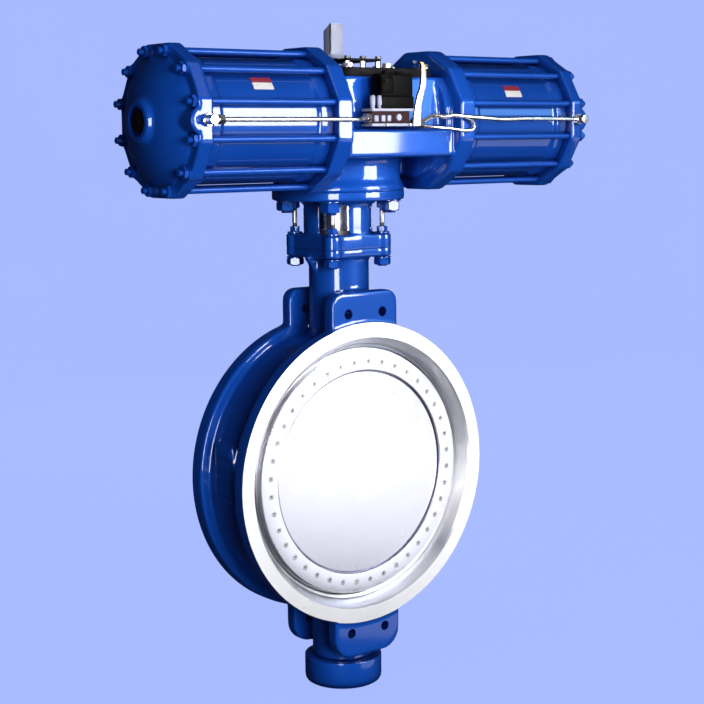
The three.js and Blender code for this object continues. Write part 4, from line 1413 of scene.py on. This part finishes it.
def solenoid_coil():
    """The black coil: a square body, a ribbed jacket, its connector and the nut on top."""
    low, high = span("solenoid_coil")
    front, back = low.y, high.y
    parts = [
        box("foot", (low.x, high.x), (front, back), (low.z, low.z + 18), 2),
        box("jacket", (low.x + 2, high.x - 1), (front + 1, back - 1), (low.z + 17, high.z - 1), 3),
        box("connector", (low.x + 2, low.x + 26), (front - 1, front + 12), (low.z + 22, low.z + 46), 2.5),
    ]
    for part in parts:
        paint(part, BLACK_PLASTIC)
    for k in range(4):
        z = low.z + 24 + 6 * k
        rib = box("rib", (low.x + 30, high.x - 5.4), (front + 1.2, back - 1), (z, z + 2.4), 0.6)
        parts.append(paint(rib, BLACK_PLASTIC))
    gland = round_bar("gland", "z", 6, low.z + 45, high.z + 4, (low.x + 14, front + 5, 0), 32, 1)
    parts.append(paint(gland, BLACK_PLASTIC))
    at = (high.x - 18, (front + back) / 2, 0)
    parts.append(nut("cap_nut", "z", at, high.z - 2, 14, 5, BLACK_PAINT, 8))
    for across, down, sunk in ((8, 12, -1.6), (24, 7, 1.0)):
        at = (low.x + across, 0, high.z - down)
        parts.append(socket_screw("screw", "y", at, front + sunk, 2.4, 1, BLACK_PAINT))
    assembled("coil_and_connector", parts, "frame", "black_plastic", "solenoid_coil", angle=35)


def smooth_path(points, per_span=8):
    """A Catmull-Rom curve through the points."""
    points = [Vector(p) for p in points]
    ends = [points[0] * 2 - points[1]] + points + [points[-1] * 2 - points[-2]]
    path = []
    for a, b, c, d in zip(ends, ends[1:], ends[2:], ends[3:]):
        for k in range(per_span):
            t = k / per_span
            slope, curve, twist = c - a, 2 * a - 5 * b + 4 * c - d, 3 * b - a - 3 * c + d
            path.append(0.5 * (2 * b + slope * t + curve * t ** 2 + twist * t ** 3))
    return path + [points[-1]]


def tube(name, points, r, material, sides=20):
    """A round tube along a smooth path, closed at both ends."""
    path = smooth_path(points)
    shape = bmesh.new()
    loops = []
    up = Vector((0, 0, 1))
    for k, here in enumerate(path):
        along = (path[min(k + 1, len(path) - 1)] - path[max(k - 1, 0)]).normalized()
        across = along.cross(up).normalized()
        lift = across.cross(along)
        turn = [2 * math.pi * n / sides for n in range(sides)]
        ways = [across * math.cos(a) + lift * math.sin(a) for a in turn]
        loops.append([shape.verts.new(here + way * r) for way in ways])
    for low, high in zip(loops, loops[1:]):
        for n in range(sides):
            shape.faces.new([low[n], low[(n + 1) % sides], high[(n + 1) % sides], high[n]])
    shape.faces.new(loops[0])
    shape.faces.new(loops[-1])
    return finish(from_bmesh(name, shape), material, 40)


def port_elbow(side):
    """The elbow at a cap's port: a hexagon base, a round body and the tube's own nut."""
    x = side * PORT_X
    face = CYL_Y - 107.6 - 0.3
    at = (0, TUBE_Y, TUBE_Z)
    body = round_bar("body", "y", 7.4, TUBE_Y - 6.5, face - 5, (x, 0, TUBE_Z), 32, 1.5)
    neck = round_bar("neck", "x", 5.6, *both(side, PORT_X - 11, PORT_X), at, 28, 0.5)
    return [
        nut("base", "y", (x, 0, TUBE_Z), face - 6, 17, 6, TUBE_METAL, 12),
        paint(body, TUBE_METAL),
        nut("tube_nut", "x", at, both(side, PORT_X - 18, PORT_X - 9)[0], 13, 9, TUBE_METAL, 5),
        paint(neck, TUBE_METAL),
    ]


def air_tubes():
    """The two bright tubes from the valve to the caps, and a short vent line under the right one."""
    left = [
        (VALVE_LEFT - 0.3, -165, TUBE_Z + 2), (-80, -172, TUBE_Z + 2), (-104, -188, TUBE_Z),
        (-140, TUBE_Y, TUBE_Z), (-240, TUBE_Y, TUBE_Z), (-PORT_X, TUBE_Y, TUBE_Z),
    ]
    at = (0, -165.5, TUBE_Z + 2)
    parts = [tube("tube", left, TUBE_R, TUBE_METAL)]
    parts.append(nut("nut", "x", at, VALVE_LEFT - 9, 13, 8.6, TUBE_METAL, 5))
    parts += port_elbow(-1)
    assembled("left_tube_and_elbow", parts, "frame", "silver_metal", "left_air_tube", angle=35)
    right = [
        (22, -162, 552), (36, -168, 554), (50, -174, 561), (66, -180, 560), (84, -185, 562),
        (104, -188, TUBE_Z + 4), (140, TUBE_Y, TUBE_Z + 2), (180, TUBE_Y, TUBE_Z),
        (240, TUBE_Y, TUBE_Z + 1), (PORT_X, TUBE_Y, TUBE_Z),
    ]
    parts = [tube("tube", right, TUBE_R, TUBE_METAL)]
    parts.append(nut("nut", "x", (0, -162.5, 552), 19.6, 14, 9, TUBE_METAL, 5))
    loop = [
        (30, -170, 545), (52, -178, 544), (80, -181, 542), (104, -183, 539), (120, -184, 540),
        (124, -184, 547), (118, -185, 554), (108, -186, 557),
    ]
    parts.append(tube("vent_loop", loop, 2.4, TUBE_METAL, 16))
    parts.append(nut("vent_nut", "x", (0, -170, 547), 23, 9, 8, TUBE_METAL, 9))
    parts += port_elbow(1)
    assembled("right_tube_and_elbow", parts, "frame", "silver_metal", "right_air_tube", angle=35)


def accessory_bracket():
    """A raised plate on posts, and the folded upright that a position sensor bolts to."""
    high = span("accessory_bracket")[1]
    under, over = 646, 650
    foot = HOUSING_TOP + 13.9
    deck = prism("deck", rounded_rectangle(34, 48, 5), under, over, "z", (0, -24, 0), 0.6)
    paint(deck, BLACK_PAINT)
    for x in (-18, 18):
        slot = prism("slot", rounded_rectangle(3.2, 10, 3.1), under - 5, over + 5, "z", (x, -2, 0))
        cut(deck, [paint(slot, BLACK_PAINT)])
    parts = [deck]
    for x, y in ((-30, -67), (0, -67), (30, -67), (-30, 19), (30, 19)):
        parts.append(nut("post", "z", (x, y, 0), foot, 8, under - foot + 0.2, BOLT_STEEL, 20))
        parts.append(nut("post_nut", "z", (x, y, 0), over, 9, 4, BOLT_STEEL, 34))
    bend = arc(-21, over + 12, 12, -90, 0, 8)
    inner = arc(-21, over + 12, 9.4, 0, -90, 8)
    web = [(-30, over)] + bend + [(-9, high.z), (-11.6, high.z)] + inner + [(-30, over + 2.6)]
    left, right = -20.5, 4
    side = [(-11.6, over + 8), (-11.6, high.z), (6, high.z - 11), (6, over + 8)]
    saddle = arc(44, 648, 17, 215, 325, 10) + arc(44, 648, 14.5, 325, 215, 10)
    sheets = [
        prism("web", web, left, right, "x", bevel=0.4),
        prism("flange", side, left, left + 2.6, "x", bevel=0.4),
        box("lip", (right - 2.5, right), (-12, -5), (over + 8, high.z - 4), 0.5),
        prism("saddle", saddle, -72, -52, "y", bevel=0.3),
    ]
    parts += [finish(sheet, SHEET_METAL, 40) for sheet in sheets]
    assembled("sensor_bracket", parts, "frame", "silver_metal", "accessory_bracket", angle=35)


def pointer():
    """The arrow on the shaft that shows where the disc stands."""
    low, high = span("position_pointer")
    outline = [
        (-12, -10), (-2, -27), (0, -28), (2, -27), (12, -10), (12, 10), (10, 12), (-10, 12),
        (-12, 10),
    ]
    arrow = prism("pointer_plate", outline, low.z, high.z, "z", bevel=0.7)
    paint(arrow, BLACK_PLASTIC)
    drill(arrow, BLACK_PLASTIC, "z", 8.3, low.z - 5, high.z + 5)
    mark = box("mark", (-1, 1), (-25, -14), (high.z - 0.3, high.z + 0.35), 0.1)
    parts = [arrow, paint(mark, FOIL_WHITE)]
    assembled("position_arrow", parts, "rotor", "black_plastic", "position_pointer", angle=35)


# ---- stage, light and camera, in metres ------------------------------------------------

FLOOR_Z = cad_box[0][2]
PALE_BLUE = (0.392, 0.497, 1.0)
VIEW_TURN = -37.84
VIEW_LIFT = 7.82
VIEW_DISTANCE = 2.51
VIEW_TARGET = Vector((0.0156, -0.0121, 0.188))
VIEW_LENS = 79.73
VIEW_ROLL = -0.6


def direction(turn, lift):
    """A unit vector away from the valve. A turn of 0 looks at its front from -Y."""
    a, b = math.radians(turn), math.radians(lift)
    return Vector((math.sin(a) * math.cos(b), -math.cos(a) * math.cos(b), math.sin(b)))


def backdrop():
    """A pale floor that curves up into a wall far behind the valve, and glows a little so
    that its tone stays even. It neither lights the valve nor shows in its paint."""
    shape = bmesh.new()
    reach, bend, height = 7.0, 2.5, 8.0
    section = [(-20.0, 0.0), (reach - bend, 0.0)]
    turns = [math.pi / 40 * k for k in range(1, 21)]
    section += [(reach - bend + bend * math.sin(a), bend - bend * math.cos(a)) for a in turns]
    section.append((reach, height))
    rows = []
    for along, up in section:
        rows.append([shape.verts.new((across, along, FLOOR_Z + up)) for across in (-16.0, 16.0)])
    for low, high in zip(rows, rows[1:]):
        shape.faces.new([low[0], low[1], high[1], high[0]])
    mesh = bpy.data.meshes.new("backdrop")
    shape.to_mesh(mesh)
    shape.free()
    sheet = link("backdrop", mesh)
    sheet.rotation_euler.z = math.radians(VIEW_TURN)
    sheet.visible_diffuse = False
    sheet.visible_glossy = False
    paints = Paintbox("pale_backdrop", shade(PALE_BLUE, 0.03), 0.9)
    paints.set("Emission Color", paints.cloud(1.5, 3.0, 0.5, PALE_BLUE, shade(PALE_BLUE, 0.985)))
    paints.set("Emission Strength", 0.995)
    paints.set("Specular IOR Level", 0.1)
    finish(sheet, paints.material, 60)


def camera():
    """The photograph's view: a long lens, well to the left of the front and a little above."""
    away = direction(VIEW_TURN, VIEW_LIFT)
    eye = bpy.data.cameras.new("camera")
    eye.lens = VIEW_LENS
    eye.sensor_width = 36
    seat = link("camera", eye)
    seat.location = VIEW_TARGET + away * VIEW_DISTANCE
    look = (-away).to_track_quat("-Z", "Y").to_matrix()
    seat.rotation_euler = (look @ Matrix.Rotation(math.radians(VIEW_ROLL), 3, "Z")).to_euler()
    bpy.context.scene.camera = seat
    bpy.context.scene.view_settings.view_transform = "Standard"


def hang(name, lamp, place, target):
    """Hangs a lamp at a place, aimed at a target, where the camera doesn't see it."""
    seat = link(name, lamp)
    seat.location = place
    seat.rotation_euler = (Vector(target) - Vector(place)).to_track_quat("-Z", "Y").to_euler()
    seat.visible_camera = False
    return seat


def softbox(name, place, target, width, height, radiance, seen_in, tint=(1, 1, 1)):
    """A soft lamp that either lights surfaces ("diffuse") or is only mirrored in them
    ("glossy"). Its power follows from its area and its brightness."""
    lamp = bpy.data.lights.new(name, "AREA")
    lamp.shape = "RECTANGLE"
    lamp.size, lamp.size_y = width, height
    lamp.energy = radiance * math.pi * width * height
    lamp.color = tint
    seat = hang(name, lamp, place, target)
    seat.visible_diffuse = seen_in == "diffuse"
    seat.visible_glossy = seen_in == "glossy"


def at_turn(turn, distance, height):
    """A place round the valve, at a distance from the stem's axis and a height."""
    away = direction(turn, 0) * distance
    return (away.x, away.y, height)


def housing_spot():
    """A small spot lamp on the housing's front and the air control."""
    spot = bpy.data.lights.new("housing_spot", "SPOT")
    spot.energy = 42
    spot.spot_size = math.radians(17)
    spot.spot_blend = 1.0
    spot.shadow_soft_size = 0.12
    seat = hang("housing_spot", spot, (0.22, -0.88, 0.78), (0.0, -0.14, 0.57))
    seat.visible_glossy = False


def lights():
    """A dim blue sky, lamps that light the valve, and cards that it only mirrors."""
    world = bpy.data.worlds.new("studio")
    world.use_nodes = True
    sky = world.node_tree.nodes["Background"]
    sky.inputs["Color"].default_value = (0.22, 0.34, 1.0, 1)
    sky.inputs["Strength"].default_value = 0.035
    bpy.context.scene.world = world
    softbox("key", at_turn(-14, 3.0, 0.6), (0, 0, 0.3), 1.5, 1.2, 17, "diffuse")
    housing_spot()
    softbox("back_fill", at_turn(155, 3.0, 1.3), (0, 0, 0.3), 1.5, 1.2, 8, "diffuse")
    softbox("left_fill", (-1.35, -0.85, 1.0), (-0.4, -0.07, 0.5), 0.5, 0.5, 1.0, "diffuse")
    softbox("overhead", at_turn(0, 0.7, 2.6), (0, 0, 0.4), 1.6, 1.2, 0.6, "diffuse")
    sea_blue = (0.27, 0.67, 1.0)
    softbox("wall_card", at_turn(45, 2.3, 1.08), (0, -0.15, 0.58), 0.8, 0.5, 4.5, "glossy", sea_blue)
    softbox("right_strip", at_turn(24, 2.3, 0.80), (0, 0, 0.55), 1.08, 1.1, 20, "glossy")
    softbox("front_strip", at_turn(VIEW_TURN - 7, 2.9, 0.4), (0, 0, 0.3), 0.9, 1.5, 17, "glossy")
    softbox("top_sheet", direction(VIEW_TURN + 30, 72) * 2.6, (0, 0, 0.4), 2.4, 1.2, 0.5, "glossy")
    softbox("low_card", at_turn(42, 2.3, -0.56), (0, 0, 0), 2.2, 0.86, 1.25, "glossy")


# ---- everything together ---------------------------------------------------------------

backdrop()
camera()
lights()

valve_body()
disc()
clamp_ring()
seal_ring()
stem()
disc_pin()
bush("upper_bush", "upper_stem_bush")
bush("lower_bush", "lower_stem_bush")
thrust_washer()
packing()
gland()
bottom_cover()
stand()
stand_bolts()
actuator_studs()
centre_housing()
housing_cover()
for hand, side in SIDES:
    barrel(hand, side)
    label(hand, *LABELS[hand])
    end_cap(hand, side)
    stop_screw(hand, side)
    tie_rods(hand, side)
    piston(hand)
piston_rod()
yoke_pin()
yoke()
solenoid_valve()
solenoid_coil()
air_tubes()
accessory_bracket()
pointer()
